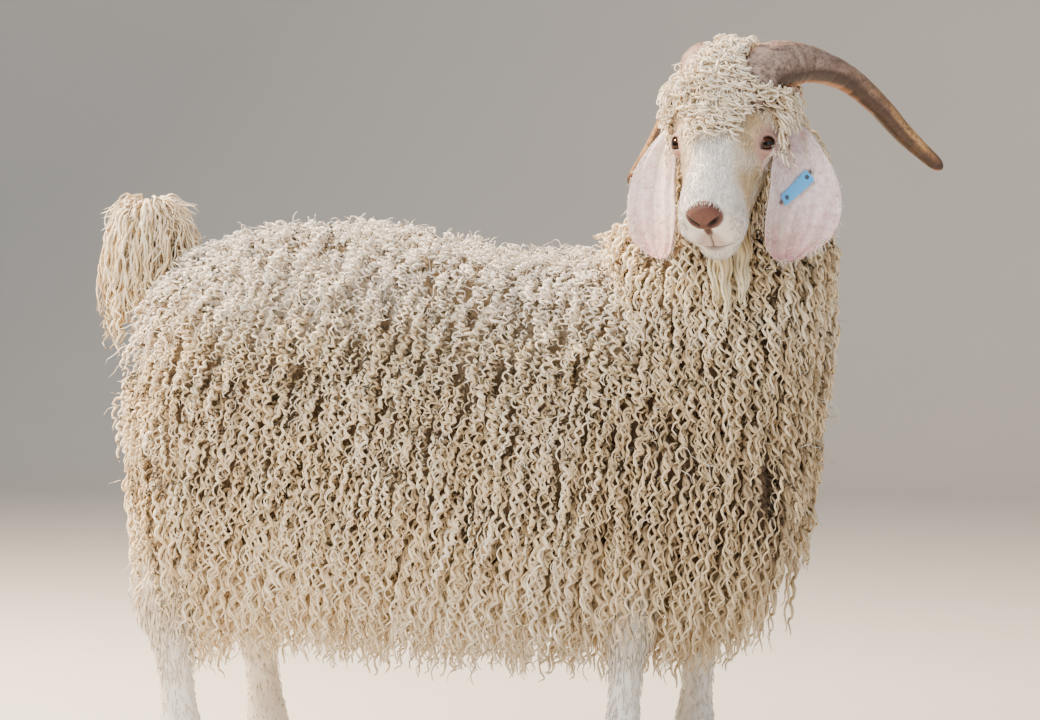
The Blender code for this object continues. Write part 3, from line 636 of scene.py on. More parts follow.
def locks(lines, outs, width, thick):
    """Closed locks along lines, flat across outs and pointed: points, quads, triangles and their shares."""
    count, rows = lines.shape[:2]
    _, side, over = axes_of(lines, outs)
    share = np.interp(np.linspace(0, 1, rows), *np.array(LOCK_SHAPE).T)[None, :, None, None]
    a = around(LOCK_SIDES)[None, None, :, None]
    ring = side[:, :, None] * np.cos(a) * width[:, None, None, None]
    ring = (ring + over[:, :, None] * np.sin(a) * thick[:, None, None, None]) * share / 2
    rings = (lines[:, :, None] + ring)[:, :-1].reshape(count, -1, 3)
    points = np.concatenate([rings, lines[:, -1:]], axis=1)
    size = points.shape[1]
    quads, i, j = rings_joined(rows - 2, LOCK_SIDES)
    k = np.arange(LOCK_SIDES)
    last = (rows - 2) * LOCK_SIDES
    tips = np.stack([last + k, last + (k + 1) % LOCK_SIDES, np.full(LOCK_SIDES, size - 1)], -1)
    tris = np.concatenate([tips, [(0, 2, 1)]])
    around_share = np.stack([j, j + 1, j + 1, j], -1).reshape(-1, 4) / LOCK_SIDES
    along_share = np.stack([i, i, i + 1, i + 1], -1).reshape(-1, 4) / (rows - 1)
    tip_around = np.stack([k, k + 1, k + 0.5], -1) / LOCK_SIDES
    tip_along = np.tile([1 - 1 / (rows - 1)] * 2 + [1], (LOCK_SIDES, 1))
    tri_uv = np.concatenate([np.stack([tip_around, tip_along], -1), np.zeros((1, 3, 2))])
    offset = (np.arange(count) * size)[:, None, None]
    return {
        "points": points.reshape(-1, 3),
        "quads": (quads[None] + offset).reshape(-1, 4),
        "tris": (tris[None] + offset).reshape(-1, 3),
        "uv": (np.stack([around_share, along_share], -1), tri_uv),
        "size": size,
        "count": count,
        "share": np.concatenate([np.repeat(np.arange(rows - 1), LOCK_SIDES), [rows - 1]]) / (rows - 1),
    }


BAKE_PATCH = 0.003
BAKE_BOXES = {  # of each part in the bake map: left, bottom, width, height
    "torso": (0.01, 0.01, 0.48, 0.97),
    "neck": (0.51, 0.01, 0.23, 0.97),
    "head": (0.76, 0.30, 0.23, 0.68),
    "legs": (0.76, 0.15, 0.11, 0.13),
    "tail": (0.76, 0.01, 0.11, 0.13),
    "beard": (0.89, 0.01, 0.10, 0.27),
}


def coat_piece(name, made, places, shades, material):
    """One mesh of locks, with the maps and attributes that its material and the bake read."""
    obj = mesh_object(name, made["points"], made["quads"], made["tris"])
    flat = [uv.reshape(-1, 2) for uv in made["uv"]]
    fibre = np.concatenate([np.tile(uv, (made["count"], 1)) for uv in flat])
    bake = np.concatenate([(places[:, None] + uv * BAKE_PATCH).reshape(-1, 2) for uv in flat])
    for layer_name, values in (("OFBake", bake), ("Fibre", fibre)):
        layer = obj.data.uv_layers.new(name=layer_name)
        layer.data.foreach_set("uv", values.astype(np.float32).ravel())
    attribute(obj, "along", np.tile(made["share"], made["count"]))
    for key, values in shades.items():
        attribute(obj, key, np.broadcast_to(values, made["count"]).repeat(made["size"]))
    dress(obj, material)
    return obj


def unwrapped(part, across, up):
    """Places within a part's box of the bake map."""
    left, bottom, width, height = BAKE_BOXES[part]
    return np.stack([left + width * np.clip(across, 0, 1), bottom + height * np.clip(up, 0, 1)], -1)


def wrapped(part, along_share, rise, out):
    """Places in a part's box by the share of its length and the angle round it."""
    return unwrapped(part, along_share, (np.arctan2(rise, out) + math.pi) / (2 * math.pi))


def torso_place(points):
    top, bottom, _ = columns(TORSO, points[:, 0])
    return wrapped("torso", (points[:, 0] + 0.46) / 0.86, points[:, 2] - (top + bottom) / 2, points[:, 1])


def neck_place(points):
    back, front, centre, _ = columns(NECK, points[:, 2])
    out = points[:, 0] - (back + front) / 2
    return wrapped("neck", (points[:, 2] - 0.28) / 0.66, points[:, 1] - centre, out)


def head_place(points):
    local = to_head(points)
    return wrapped("head", (local[:, 0] + 0.18) / 0.36, local[:, 2] + 0.03, local[:, 1])


def leg_place(points):
    side = points[:, 1] - LEG_Y["left"] * np.sign(points[:, 1])
    return wrapped("legs", points[:, 2] / 0.4, side, points[:, 0] % 0.09 - 0.045)


# Fleece of the body

NECK_PITCH = 0.93  # of the pitch on the trunk
FLEECE_RISE = (0.016, 0.046)
FLEECE_LEAN = (-0.20, 0.0, -1.0)
RUMP_LEAN = (0.10, 0.0, -1.0)
RUMP_FROM = -0.35
PARTING = 0.50  # how far the locks fall to the side from the middle of the back
TORSO_ROWS_END = 0.335  # x where the staggered rows end and plain rings go on
TAIL_ROOM = (-0.402, 0.690)


def soft_noise(points, size, seed):
    """Smooth noise from a few waves of random direction, about -1 to 1."""
    random = np.random.default_rng(seed)
    total = 0
    for _ in range(9):
        wave = random.normal(size=3)
        wave *= 2 * math.pi / (size * random.uniform(0.7, 1.6)) / np.linalg.norm(wave)
        total = total + np.sin(points @ wave + random.uniform(0, 7))
    return total / 3


def horn_gap(points, bare=None):
    """Distance of points outside the horns' surfaces, about, from the share where each is bare of curls."""
    best = np.full(points.shape[:-1], 1.0)
    for side in SIDES:
        shares = np.linspace(bare[side] if bare else 0, 1, 40)
        line = horn_line(side, shares)
        girth = along(HORN_GIRTH, shares).mean(-1)
        for centre, radius in zip(line, girth):
            best = np.minimum(best, np.linalg.norm(points - centre, axis=-1) - radius)
    return best


def in_ear_room(points, behind, ahead, edge=1.15):
    """Whether points lie within a space behind and in front of an ear."""
    found = np.zeros(points.shape[:-1], bool)
    for side in SIDES:
        s, t, depth, beyond = ear_place(side, points)
        found |= (beyond < 0.008) & (np.abs(t) < edge) & (depth > -behind) & (depth < ahead) & (s > 0.08)
    return found


def fleece_roots(random, pitch):
    """Roots on the trunk and the neck, and which of the two they are on."""
    rows = np.arange(TORSO[0][0] + 0.004, TORSO_ROWS_END, pitch)
    places = roots_on(torso_point, rows, math.radians(-90), math.radians(270), pitch, random)
    torso = [torso_point(places[:, 0], places[:, 1])]
    angles = np.linspace(0, 2 * math.pi, 64)[:-1]
    shares = np.linspace(0, 1, 63)
    rump, breast = (torso_point(np.full(63, x), angles) for x in (TORSO[0][0], TORSO[-1][0]))
    for size in np.arange(0.1, 1.0, 0.13):
        loop = rump.mean(0) + (rump - rump.mean(0)) * size
        keys = spaced(loop, shares, pitch, 0.0)
        torso.append(np.stack([np.interp(keys, shares, loop[:, k]) for k in range(3)], -1))
    torso += [torso_point(np.full(63, x), angles) for x in np.arange(TORSO_ROWS_END, 0.36, pitch)]
    torso += [(breast.mean(0) + (breast - breast.mean(0)) * size)[::2] for size in np.arange(0.15, 1.0, 0.13)]
    torso = np.concatenate(torso)
    levels = np.arange(0.330, 0.885, pitch * NECK_PITCH)
    places = roots_on(neck_point, levels, -math.pi, math.pi, pitch * NECK_PITCH, random)
    neck = neck_point(places[:, 0], places[:, 1])
    back, front, centre, half = columns(NECK, torso[:, 2])
    reach = 2 / NECK_SQUARE
    inside = np.abs((torso[:, 0] - (front + back) / 2) / ((front - back) / 2)) ** reach
    inside = inside + np.abs((torso[:, 1] - centre) / half) ** reach
    torso = torso[(inside > 1) | (torso[:, 2] < NECK[0][0])]
    top, bottom, half = columns(TORSO, neck[:, 0])
    reach = 2 / TORSO_SQUARE
    middle = bottom + TORSO_WIDEST * (top - bottom)
    rise = np.where(neck[:, 2] > middle, top - middle, middle - bottom)
    inside = np.abs(neck[:, 1] / half) ** reach + np.abs((neck[:, 2] - middle) / rise) ** reach
    neck = neck[(inside > 1) | (neck[:, 0] > TORSO[-1][0])]
    local = to_head(neck)
    neck = neck[(local[:, 2] < -0.060) & ~((np.abs(local[:, 1]) < 0.056) & (local[:, 2] > -0.100))]
    return torso, neck


def fleece(guide, settings):
    """The hanging ringlets of the trunk and the neck in pieces from rump to neck, and loose strands."""
    random = np.random.default_rng(SEED)
    torso, neck = fleece_roots(random, settings.fleece_pitch)
    torso = torso[~((torso[:, 0] < TAIL_ROOM[0]) & (torso[:, 2] > 0.60) & (np.abs(torso[:, 1]) < 0.03))]
    roots = np.concatenate([torso, neck])
    on_neck = np.arange(len(roots)) >= len(torso)
    count = len(roots)
    top, bottom, _ = columns(TORSO, roots[:, 0])
    height = np.where(on_neck, (roots[:, 2] - 0.3) / 0.58, (roots[:, 2] - bottom) / (top - bottom))
    back = np.where(on_neck, 0.0, step_up(height, 0.75, 1.0))
    hem = step_up(0.42 - height, 0.0, 0.35) * ~on_neck
    curly = step_up(height, 0.40, 0.80) * ~on_neck
    chest = step_up(roots[:, 0], 0.10, 0.26)

    lean = np.tile(FLEECE_LEAN, (count, 1))
    rump = step_up(-roots[:, 0], -RUMP_FROM - 0.03, -RUMP_FROM + 0.05)
    lean[:, 0] += rump * (RUMP_LEAN[0] - FLEECE_LEAN[0])
    lean[on_neck] = (0.0, 0.0, -1.0)
    lean += random.normal(0, 1, lean.shape) * [1, 1, 0] * (0.09 + 0.26 * curly)[:, None]
    sign = np.where(roots[:, 1] + random.normal(0, 0.006, count) > 0, 1.0, -1.0)
    spread = np.zeros((count, 3))
    spread[:, 1] = sign * PARTING
    spread[:, 0] = -0.35 * rump
    length = settings.fleece_length * random.uniform(0.85, 1.2, count) * (1 + 0.15 * chest)
    length *= 1 - 0.10 * curly
    length += hem * (0.060 + 0.045 * step_up(-roots[:, 0], 0.31, 0.40))
    rise = random.uniform(*FLEECE_RISE, count) * (1 + 0.08 * soft_noise(roots, 0.10, 3))
    rise *= np.where(on_neck & (roots[:, 2] > 0.74), 0.75, 1.0)
    rise *= 1 - 0.15 * back
    lines, outs = march(guide, roots, lean, spread, length, rise)
    keep = ~in_ear_room(lines, 0.010, 0.10).any(1)
    head = to_head(lines)
    keep &= ~((head[..., 2] > -0.075) & (np.abs(head[..., 1]) < 0.085)).any(1) | (roots[:, 2] < 0.7)
    keep &= horn_gap(lines[:, 2:]).min(1) > 0.005
    keep &= (height > 0.10) | on_neck | (random.uniform(size=count) < 0.55)
    lines, outs, roots, count = lines[keep], outs[keep], roots[keep], keep.sum()
    chest, back, hem, curly = chest[keep], back[keep], hem[keep], curly[keep]
    radius = (0.0032 + 0.0006 * curly + 0.0010 * hem) * random.uniform(0.6, 1.45, count)
    period = (0.0175 + 0.003 * chest - 0.005 * curly + 0.009 * hem) * random.uniform(0.75, 1.35, count)
    phase = 2.5 * soft_noise(roots, 0.05, 5) + random.normal(0, 1.6, count)
    width = (0.0054 - 0.0002 * curly + 0.0010 * hem) * random.uniform(0.55, 1.40, count)
    made = []
    order = np.argsort(roots[:, 0] + 0.9 * np.maximum(0, roots[:, 2] - 0.68))
    long = hem[order] > 0.45
    groups = np.array_split(order[~long], 6) + np.array_split(order[long], 2)
    names = ("rump", "croup", "loin", "shoulder", "breast", "neck", "hem_hind", "hem_fore")
    shade = np.clip(0.5 + 0.28 * random.normal(size=count) + 0.18 * soft_noise(roots, 0.09, 8), 0, 1)
    # Painted shade: the locks of the chest under the head are darker.
    shade = np.clip(shade - 0.75 * chest * step_up(-roots[:, 2], -0.66, -0.50), 0, 1)
    place = np.where(on_neck[keep][:, None], neck_place(roots), torso_place(roots))
    material = coat_material("Mohair fleece", settings, "fleece")
    for name, group in zip(names, groups):
        rows = 28 if name.startswith("hem") else 19
        fine, over = resampled(lines[group], rows), unit(resampled(outs[group], rows))
        fine, away = coiled(fine, over, radius[group], period[group], phase[group], 0.8, 0.65)
        piece = locks(fine, away, width[group], width[group] * 0.62)
        # On the locks of the back, white is a painted sheen along the topline.
        shades = {"shade": shade[group], "white": back[group]}
        made.append(coat_piece("fleece_" + name, piece, place[group], shades, material))
    weight = 0.05 + 1.6 * back + 0.4 * curly
    pick = random.choice(count, FRIZZ_COUNT, replace=False, p=weight / weight.sum())
    made.append(frizz(lines[pick], outs[pick], place[pick], back[pick], random, material))
    return made


FRIZZ_COUNT = 1700
FRIZZ_LENGTH = (0.018, 0.040)
FRIZZ_ROOM = 0.255  # how far from the middle of the trunk they may reach


def frizz(lines, outs, place, back, random, material):
    """Thin loose strands that stand off the locks, most of them along the back."""
    count = len(lines)
    start, out = lines[:, 4, None], outs[:, 4, None]
    way = unit(0.7 * out + random.normal(0, 0.55, (count, 1, 3)) + [0, 0, 0.15])
    s = np.linspace(0, 1, 6)[None, :, None]
    reach = random.uniform(*FRIZZ_LENGTH, (count, 1, 1))
    strands = start + (way * s - np.array([0, 0, 0.55]) * s * s) * reach
    strands, over = resampled(strands, 7), np.repeat(out, 7, 1)
    radius, period = random.uniform(0.0015, 0.0035, count), random.uniform(0.016, 0.030, count)
    strands, _ = coiled(strands, over, radius, period, random.uniform(0, 7, count))
    inside = np.abs(strands[..., 1]).max(1) < FRIZZ_ROOM
    strands, over, place, back = strands[inside], over[inside], place[inside], back[inside]
    width = random.uniform(0.0008, 0.0016, len(strands))
    # The frizz is whitish, and whiter on the back by the same painted sheen as the locks.
    shades = {"shade": 1.0, "white": 0.5 + 0.5 * back}
    return coat_piece("fleece_frizz", locks(strands, over, width, width), place, shades, material)


# Curls of the topknot

TOPKNOT = ((-0.060, 0.0, 0.024), (0.060, 0.064, 0.044))
KNOT_COUNT = 1800
KNOT_HEM = ((-0.15, -0.06, -0.03, 0.0, 0.012), (-0.055, -0.040, 0.010, 0.036, 0.060))  # f, lowest u there
HORN_BARE = {"left": 0.20, "right": 0.26}  # share of each horn that the curls hide
CHEEK_COUNT = 560
CHEEK_ROOM = ((-0.060, -0.095), (0.030, 0.020))  # f and u where the wool of the cheeks grows
NAPE_COUNT = 430
NAPE_MIDDLE = (-0.070, 0.0, -0.030)  # f, out and u of the point that the roots of the nape lie round


def topknot(settings):
    """Tight curls over the crown and the forehead, and the wool of the cheeks and the nape."""
    random = np.random.default_rng(SEED + 1)
    f = np.linspace(HEAD[0][0], 0.06, 40)[:, None]
    forms = [loft(head_point(f, around(48)[None, :])), head_ball(*TOPKNOT)]
    guide = guide_of(forms, 0.005)
    found = []
    middle = np.array(TOPKNOT[0])
    while len(found) < KNOT_COUNT:
        way = unit(random.normal(size=3))
        if way[2] < -0.45:
            continue
        start = Vector(from_head(middle + way * 0.2))
        hit = guide.ray_cast(start, Vector(-(HEAD_TURN @ way)))[0]
        if hit is None:
            continue
        local = to_head(np.array(hit))
        low = np.interp(local[0], *KNOT_HEM)
        forelock = math.exp(-(((abs(local[1]) - 0.030) / 0.013) ** 2))
        if local[2] > low - 0.026 * forelock and local[0] < 0.010 + 0.020 * forelock:
            found.append(np.array(hit))
    roots = np.array(found)
    local = to_head(roots)
    count = len(roots)
    front = step_up(local[:, 0], -0.05, 0.0)
    lean = np.outer(0.9 * front + 0.15, HEAD_TURN[:, 0])
    lean = lean + np.outer(local[:, 1] / 0.07 * 0.35, HEAD_TURN[:, 1])
    lean = lean + np.array([0, 0, -1.0]) + random.normal(0, 0.75, (count, 3))
    spread = random.normal(0, 0.6, (count, 3))
    upright = random.uniform(size=count) < 0.45
    length = np.where(upright, random.uniform(0.024, 0.036, count), random.uniform(0.036, 0.058, count))
    length *= 1 - 0.2 * front
    rise = np.where(upright, random.uniform(0.014, 0.024, count), random.uniform(0.005, 0.018, count))
    rise *= 1 - 0.2 * front
    lines, outs = march(guide, roots, lean, spread, length, rise, 0.022)
    keep = np.ones(count, bool)
    back = -unit(np.array([HEAD_TURN[0, 0], HEAD_TURN[1, 0], 0.0]))
    for reach in (0.0, 0.012, 0.024, 0.036):
        keep &= horn_gap(lines[:, 1:] + back * reach, HORN_BARE).min(1) > 0.004
    keep &= ~in_ear_room(lines[:, 2:], 0.006, 0.016, 1.0).any(1)
    keep &= (eye_gap(lines).min(1) > 0.0200) & ~before_eye(lines)
    lines, away, width = wound(
        random, lines[keep], outs[keep], 31, (0.0038, 0.0070), (0.0110, 0.0180), (0.0027, 0.0042), 1.0, 1.05
    )
    shade = np.clip(0.55 + 0.28 * random.normal(size=len(lines)) - 0.25 * front[keep], 0, 1)
    material = coat_material("Mohair topknot", settings, "topknot")
    place, on_left = head_place(roots[keep]), local[keep][:, 1] > 0
    for side, group in (("left", on_left), ("right", ~on_left)):
        piece = locks(lines[group], away[group], width[group], width[group] * 0.85)
        shades = {"shade": np.minimum(1, shade[group] + 0.20), "white": 0.22}
        coat_piece("topknot_" + side, piece, place[group], shades, material)
    cheek_wool(guide, material)
    nape_wool(forms, material)


def cheek_wool(guide, material):
    """Wavy locks between the face and the ears, from the topknot down to the jaw."""
    random = np.random.default_rng(SEED + 5)
    low, high = np.array(CHEEK_ROOM)
    place = random.uniform(low, high, (CHEEK_COUNT * 3, 2))
    place = place[place[:, 0] < 0.012 - 0.30 * (place[:, 1] + 0.03)][:CHEEK_COUNT]
    sign = np.where(random.uniform(size=len(place)) < 0.5, 1.0, -1.0)
    starts = from_head(np.stack([place[:, 0], sign * 0.12, place[:, 1]], -1))
    roots = roots_met(guide, starts, np.outer(sign, HEAD_TURN[:, 1]))
    roots = roots[eye_gap(roots) > 0.026]
    count = len(roots)
    lean = HEAD_TURN[:, 0] * 0.25 + [0, 0, -1.0] + random.normal(0, 0.22, (count, 3))
    length = random.uniform(0.045, 0.072, count)
    rise = random.uniform(0.004, 0.013, count)
    lines, outs = march(guide, roots, lean, np.zeros((count, 3)), length, rise, 0.02)
    keep = ~before_eye(lines) & ~in_ear_room(lines[:, 1:], 0.006, 0.010, 1.0).any(1)
    lines, away, width = wound(
        random, lines[keep], outs[keep], 15, (0.0016, 0.0034), (0.014, 0.022), (0.0034, 0.0052), 0.8, 0.6
    )
    shades = {"shade": random.uniform(0.3, 1.0, len(lines)), "white": 0.1}
    made = locks(lines, away, width, width * 0.6)
    return coat_piece("cheek_wool", made, head_place(roots[keep]), shades, material)


def nape_wool(forms, material):
    """Curls on the back of the head and the top of the neck, from under the horns down to the fleece."""
    random = np.random.default_rng(SEED + 6)
    z = np.linspace(0.70, NECK[-1][0], 24)[:, None]
    guide = guide_of(forms + [loft(neck_point(z, around(48)[None, :]))], 0.005)
    ways = unit(random.normal(size=(NAPE_COUNT * 5, 3)))
    ways = ways[(ways[:, 0] < 0.15) & (ways[:, 2] < 0.75)]
    roots = roots_met(guide, from_head(np.array(NAPE_MIDDLE) + ways * 0.2), [HEAD_TURN @ way for way in ways])
    local = to_head(roots)
    roots = roots[(local[:, 0] < -0.050) & (local[:, 2] > -0.095) & (local[:, 2] < 0.045)][:NAPE_COUNT]
    local, count = to_head(roots), len(roots)
    lean = np.outer(local[:, 1] / 0.07, HEAD_TURN[:, 1]) * 0.5 + [0, 0, -1.0]
    lean = lean + random.normal(0, 0.35, (count, 3))
    length = random.uniform(0.045, 0.070, count)
    rise = random.uniform(0.008, 0.020, count)
    lines, outs = march(guide, roots, lean, random.normal(0, 0.3, (count, 3)), length, rise, 0.02)
    keep = horn_gap(lines[:, 1:], HORN_BARE).min(1) > 0.003
    keep &= ~in_ear_room(lines[:, 1:], 0.006, 0.012, 1.0).any(1)
    lines, away, width = wound(
        random, lines[keep], outs[keep], 19, (0.0030, 0.0050), (0.016, 0.023), (0.0042, 0.0060), 0.9, 0.8
    )
    shades = {"shade": random.uniform(0.4, 1.0, len(lines)), "white": 0.15}
    made = locks(lines, away, width, width * 0.7)
    return coat_piece("nape_wool", made, head_place(roots[keep]), shades, material)


def roots_met(guide, starts, outwards):
    """Where rays from starts, against the ways outwards, meet the outside of the guide."""
    found = []
    for start, out in zip(starts, outwards):
        hit, normal, _, _ = guide.ray_cast(Vector(start), -Vector(out))
        if hit is not None and normal.dot(Vector(out)) > 0:
            found.append(hit)
    return np.array(found)


def eye_gap(points):
    """Distance of points from the middle of the nearer eye."""
    centres = [from_head((EYE_AT[0], sign * EYE_AT[1], EYE_AT[2])) for sign in SIDES.values()]
    return np.minimum(*[np.linalg.norm(points - centre, axis=-1) for centre in centres])


def before_eye(lines):
    """Whether lines hang in front of an eye."""
    found = np.zeros(lines.shape[:-1], bool)
    for side in SIDES:
        away = lines - eye_middle(side)
        reach = np.linalg.norm(away, axis=-1)
        found |= (reach < 0.055) & (away @ eye_axes(side)[0] > 0.42 * reach)
    return found.any(1)


# Silky locks of the tail and the beard


PLUME_COUNT = 940
CREST_COUNT = 330  # of them, on the top of the tail
BEARD = ((-0.013, 0.066, 0.85), (0.0, 0.080, 1.0), (0.014, 0.062, 0.9))  # to the side, f, share
BEARD_LENGTH = 0.120
BEARD_COUNT = 34  # in each of the three bunches


def plume(settings):
    """Silky locks that rise from the tail and fall over to all sides, with a rounded crest."""
    random = np.random.default_rng(SEED + 2)
    count, steps = PLUME_COUNT, 16
    crest = np.arange(count) < CREST_COUNT
    t = np.where(crest, 1.0, random.uniform(0.0, 1.0, count))
    a = random.uniform(0, 2 * math.pi, count)
    x, z, radius = smooth_line(TAIL, t).T
    radius = radius * np.where(crest, random.uniform(0, 1, count), 0.75)
    out = np.stack([np.cos(a), 0.85 * np.sin(a), 0 * a], -1)
    roots = np.stack([x, 0 * x, z], -1) + out * radius[:, None]
    roots = roots + [0, 0, 1] * random.uniform(-0.01, 0.01, (count, 1))
    length = random.uniform(0.075, 0.120, count) * (0.95 + 0.10 * t) * np.where(crest, 0.60, 1.0)
    s = np.linspace(0, 1, steps)[None, :]
    start = np.radians(75 - 60 * t + random.normal(0, 12, count))[:, None]
    last = np.radians(np.where(crest, random.uniform(110, 178, count), 178.0))[:, None]
    angle = (start + (last - start) * step_up(s, 0.0, 0.62))[..., None]
    swirl = random.normal(0, 0.30, (count, 1)) * s
    sideways = np.stack([-np.sin(a), np.cos(a), 0 * a], -1)[:, None]
    way = np.cos(angle) * [0, 0, 1.0] + np.sin(angle) * out[:, None] + swirl[..., None] * sideways
    lines = roots[:, None] + np.cumsum(way, axis=1) * (length / steps)[:, None, None]
    outs = unit(np.repeat(out[:, None], steps, 1) + [0, 0, 0.6])
    lines, outs = resampled(lines, 15), unit(resampled(outs, 15))
    low = 1 - step_up(t, 0.15, 0.45)
    winding = random.uniform(0.001, 0.003, count) + 0.0022 * low
    period = random.uniform(0.03, 0.06, count) * (1 - 0.55 * low)
    lines, _ = coiled(lines, outs, winding, period, a * 3, 0.8, 0.4)
    width = random.uniform(0.0030, 0.0065, count)
    shades = {"shade": random.uniform(0.2, 1, count), "white": 0.45 * t}
    material = coat_material("Silky mohair", settings, "plume")
    place = unwrapped("tail", t, a / (2 * math.pi))
    return coat_piece("tail_plume", locks(lines, outs, width, width * 0.5), place, shades, material)


def beard(settings):
    """Three bunches of long silky locks under the chin."""
    random = np.random.default_rng(SEED + 3)
    pieces = []
    for k, (out, f, share) in enumerate(BEARD):
        root = from_head((f, out, -0.076))
        start = root + random.normal(0, 1, (BEARD_COUNT, 3)) * [0.005, 0.006, 0.003]
        way = np.array([0.06 + 0.07 * (k - 1), -0.16, -1.0])
        s = np.linspace(0, 1, 10)[None, :, None]
        length = BEARD_LENGTH * share * random.uniform(0.6, 1.0, BEARD_COUNT)[:, None, None]
        gather = (start - root)[:, None] * (1 + 0.5 * np.sin(s * 2.6) - 1.1 * s)
        curve = way * s + np.array([0.05, 0.03, 0]) * np.sin(2.2 * s + k) * s
        pieces.append(root + gather + curve * length)
    lines = resampled(np.concatenate(pieces), 16)
    count = len(lines)
    outs = np.tile(HEAD_TURN[:, 0], (count, 16, 1))
    phase = random.uniform(0, 2, count)
    lines, _ = coiled(lines, outs, np.full(count, 0.0016), np.full(count, 0.038), phase)
    width = random.uniform(0.004, 0.008, count)
    shades = {"shade": random.uniform(0.2, 1, count), "white": 0.0}
    material = coat_material("Beard", settings, "beard")
    place = unwrapped("beard", random.uniform(0, 1, count), random.uniform(0, 1, count))
    return coat_piece("beard", locks(lines, outs, width, width * 0.5), place, shades, material)


# Skin: one body under the coat, with a finer head and ears

BODY_VOXEL = 0.0065
HEAD_VOXEL = 0.0015
FACE_FROM = -0.040
NOSE_PAD = ((0.124, 0.0, -0.001), (0.017, 0.024, 0.021))
UPPER_LIP = ((0.104, 0.018, -0.036), (0.028, 0.024, 0.022))
CHIN = ((0.098, 0.0, -0.073), (0.029, 0.026, 0.017))
NOSTRIL_AT = (0.139, 0.0125, -0.002)
LIPS = (0.126, 0.0, -0.046)
MOUTH = ((0.066, -0.038), (0.078, -0.046), (0.094, -0.054), (0.110, -0.059), (0.125, -0.061))

# Rises and hollows of the face: middle, radii, height; the side is mirrored
FACE_FORMS = (
    ((0.004, 0.062, 0.000), (0.020, 0.020, 0.016), -0.0045),  # socket
    ((-0.002, 0.052, 0.024), (0.024, 0.016, 0.009), 0.0030),  # brow
    ((0.012, 0.058, -0.022), (0.030, 0.014, 0.009), 0.0024),  # cheekbone
    ((0.050, 0.036, -0.004), (0.024, 0.014, 0.014), -0.0026),  # hollow beside the nose bridge
    ((0.034, 0.050, -0.010), (0.014, 0.010, 0.006), -0.0018),  # tear groove
    ((0.055, 0.000, 0.036), (0.050, 0.014, 0.012), 0.0020),  # nose bridge
    ((0.104, 0.027, 0.004), (0.016, 0.010, 0.010), 0.0016),  # side of the nostril
    ((0.060, 0.040, -0.070), (0.030, 0.016, 0.014), 0.0016),  # jaw
    ((0.082, 0.036, -0.030), (0.014, 0.016, 0.012), -0.0014),  # behind the lip
)


def mirrored(local):
    """Points of the head with both sides folded onto the left."""
    return np.stack([local[..., 0], np.abs(local[..., 1]), local[..., 2]], -1)


def blob(local, centre, radii):
    return np.exp(-(((local - np.array(centre)) / np.array(radii)) ** 2).sum(-1))


def mouth_gap(local):
    """Distance of points from the line between the lips."""
    f = np.linspace(MOUTH[0][0], MOUTH[-1][0], 30)
    up = columns(MOUTH, f)[0]
    away = np.hypot(local[:, 0, None] - f[None, :], local[:, 2, None] - up[None, :])
    gap = away.min(1)
    front = np.abs(local[:, 2] - MOUTH[-1][1])
    return np.where(local[:, 0] > MOUTH[-1][0], front, gap)


def nostril_gap(folded):
    """Share of the way out from the comma shape of a nostril, 1 at its edge."""
    local = folded - np.array(NOSTRIL_AT)
    bend = local[:, 2] - 0.55 * local[:, 1] - 18 * local[:, 1] ** 2
    return np.sqrt((local[:, 1] / 0.0100) ** 2 + (bend / 0.0052) ** 2 + (local[:, 0] / 0.016) ** 2)


def face_skin():
    """The head in fine faces, with its hollows, nostrils, lips and folds."""
    f = np.linspace(FACE_FROM, HEAD[-1][0], 110)[:, None]
    forms = [loft(head_point(f, around(96)[None, :])), head_ball(*NOSE_PAD), head_ball(*CHIN)]
    for sign in SIDES.values():
        forms.append(head_ball(np.array(UPPER_LIP[0]) * (1, sign, 1), UPPER_LIP[1]))
    obj = remeshed("face", forms, HEAD_VOXEL, 9)
    points, normals = points_of(obj), normals_of(obj)
    local = to_head(points)
    folded = mirrored(local)
    rise = sum(height * blob(folded, centre, radii) for centre, radii, height in FACE_FORMS)
    gap = mouth_gap(local)
    muzzle = step_up(local[:, 0], MOUTH[0][0] - 0.004, MOUTH[0][0] + 0.010)
    rise -= 0.0050 * np.exp(-((gap / 0.0021) ** 2)) * muzzle
    rise += 0.0016 * np.exp(-(((gap - 0.0062) / 0.0030) ** 2)) * muzzle
    nostril = nostril_gap(folded)
    rise -= 0.0080 * (1 - step_up(nostril, 0.35, 1.05))
    rise += 0.0012 * np.exp(-(((nostril - 1.35) / 0.35) ** 2))
    front = step_up(local[:, 0], 0.112, 0.122)
    seam = np.exp(-((local[:, 1] / 0.0014) ** 2)) * front * step_up(-local[:, 2], -0.002, 0.008)
    rise -= 0.0022 * seam * (local[:, 2] > MOUTH[-1][1])
    for k in range(3):
        reach = np.linalg.norm((folded - np.array(EYE_AT)) / [1.25, 1, 1], axis=-1)
        crease = np.exp(-(((reach - 0.0265 - 0.0042 * k) / 0.0011) ** 2))
        below = step_up(-folded[:, 2], -0.004, 0.008) + 0.7 * step_up(folded[:, 2], 0.006, 0.014)
        rise -= (0.0011 - 0.0003 * k) * crease * np.minimum(below, 1) * (folded[:, 0] > -0.02)
    fine = soft_noise(points, 0.012, 21) * 0.00022
    place_points(obj, socketed(points + normals * (rise + fine)[:, None]))
    return obj


SOCKET_FROM = 58  # degrees round the way the eye looks, where the skin starts to rise over the ball
SOCKET_TO = 100


def socketed(points):
    """Points of the face, drawn back where they would stand in front of an eye."""
    for side in SIDES:
        away = points - eye_middle(side)
        reach = np.linalg.norm(away, axis=-1)
        polar = np.degrees(np.arccos(np.clip(away @ eye_axes(side)[0] / reach, -1, 1)))
        limit = EYE_RADIUS - 0.002 + 0.030 * step_up(polar, SOCKET_FROM, SOCKET_TO)
        share = np.maximum(0, 1 - limit / reach) * (1 - step_up(reach, 0.028, 0.042))
        points = points - away * share[:, None]
    return points


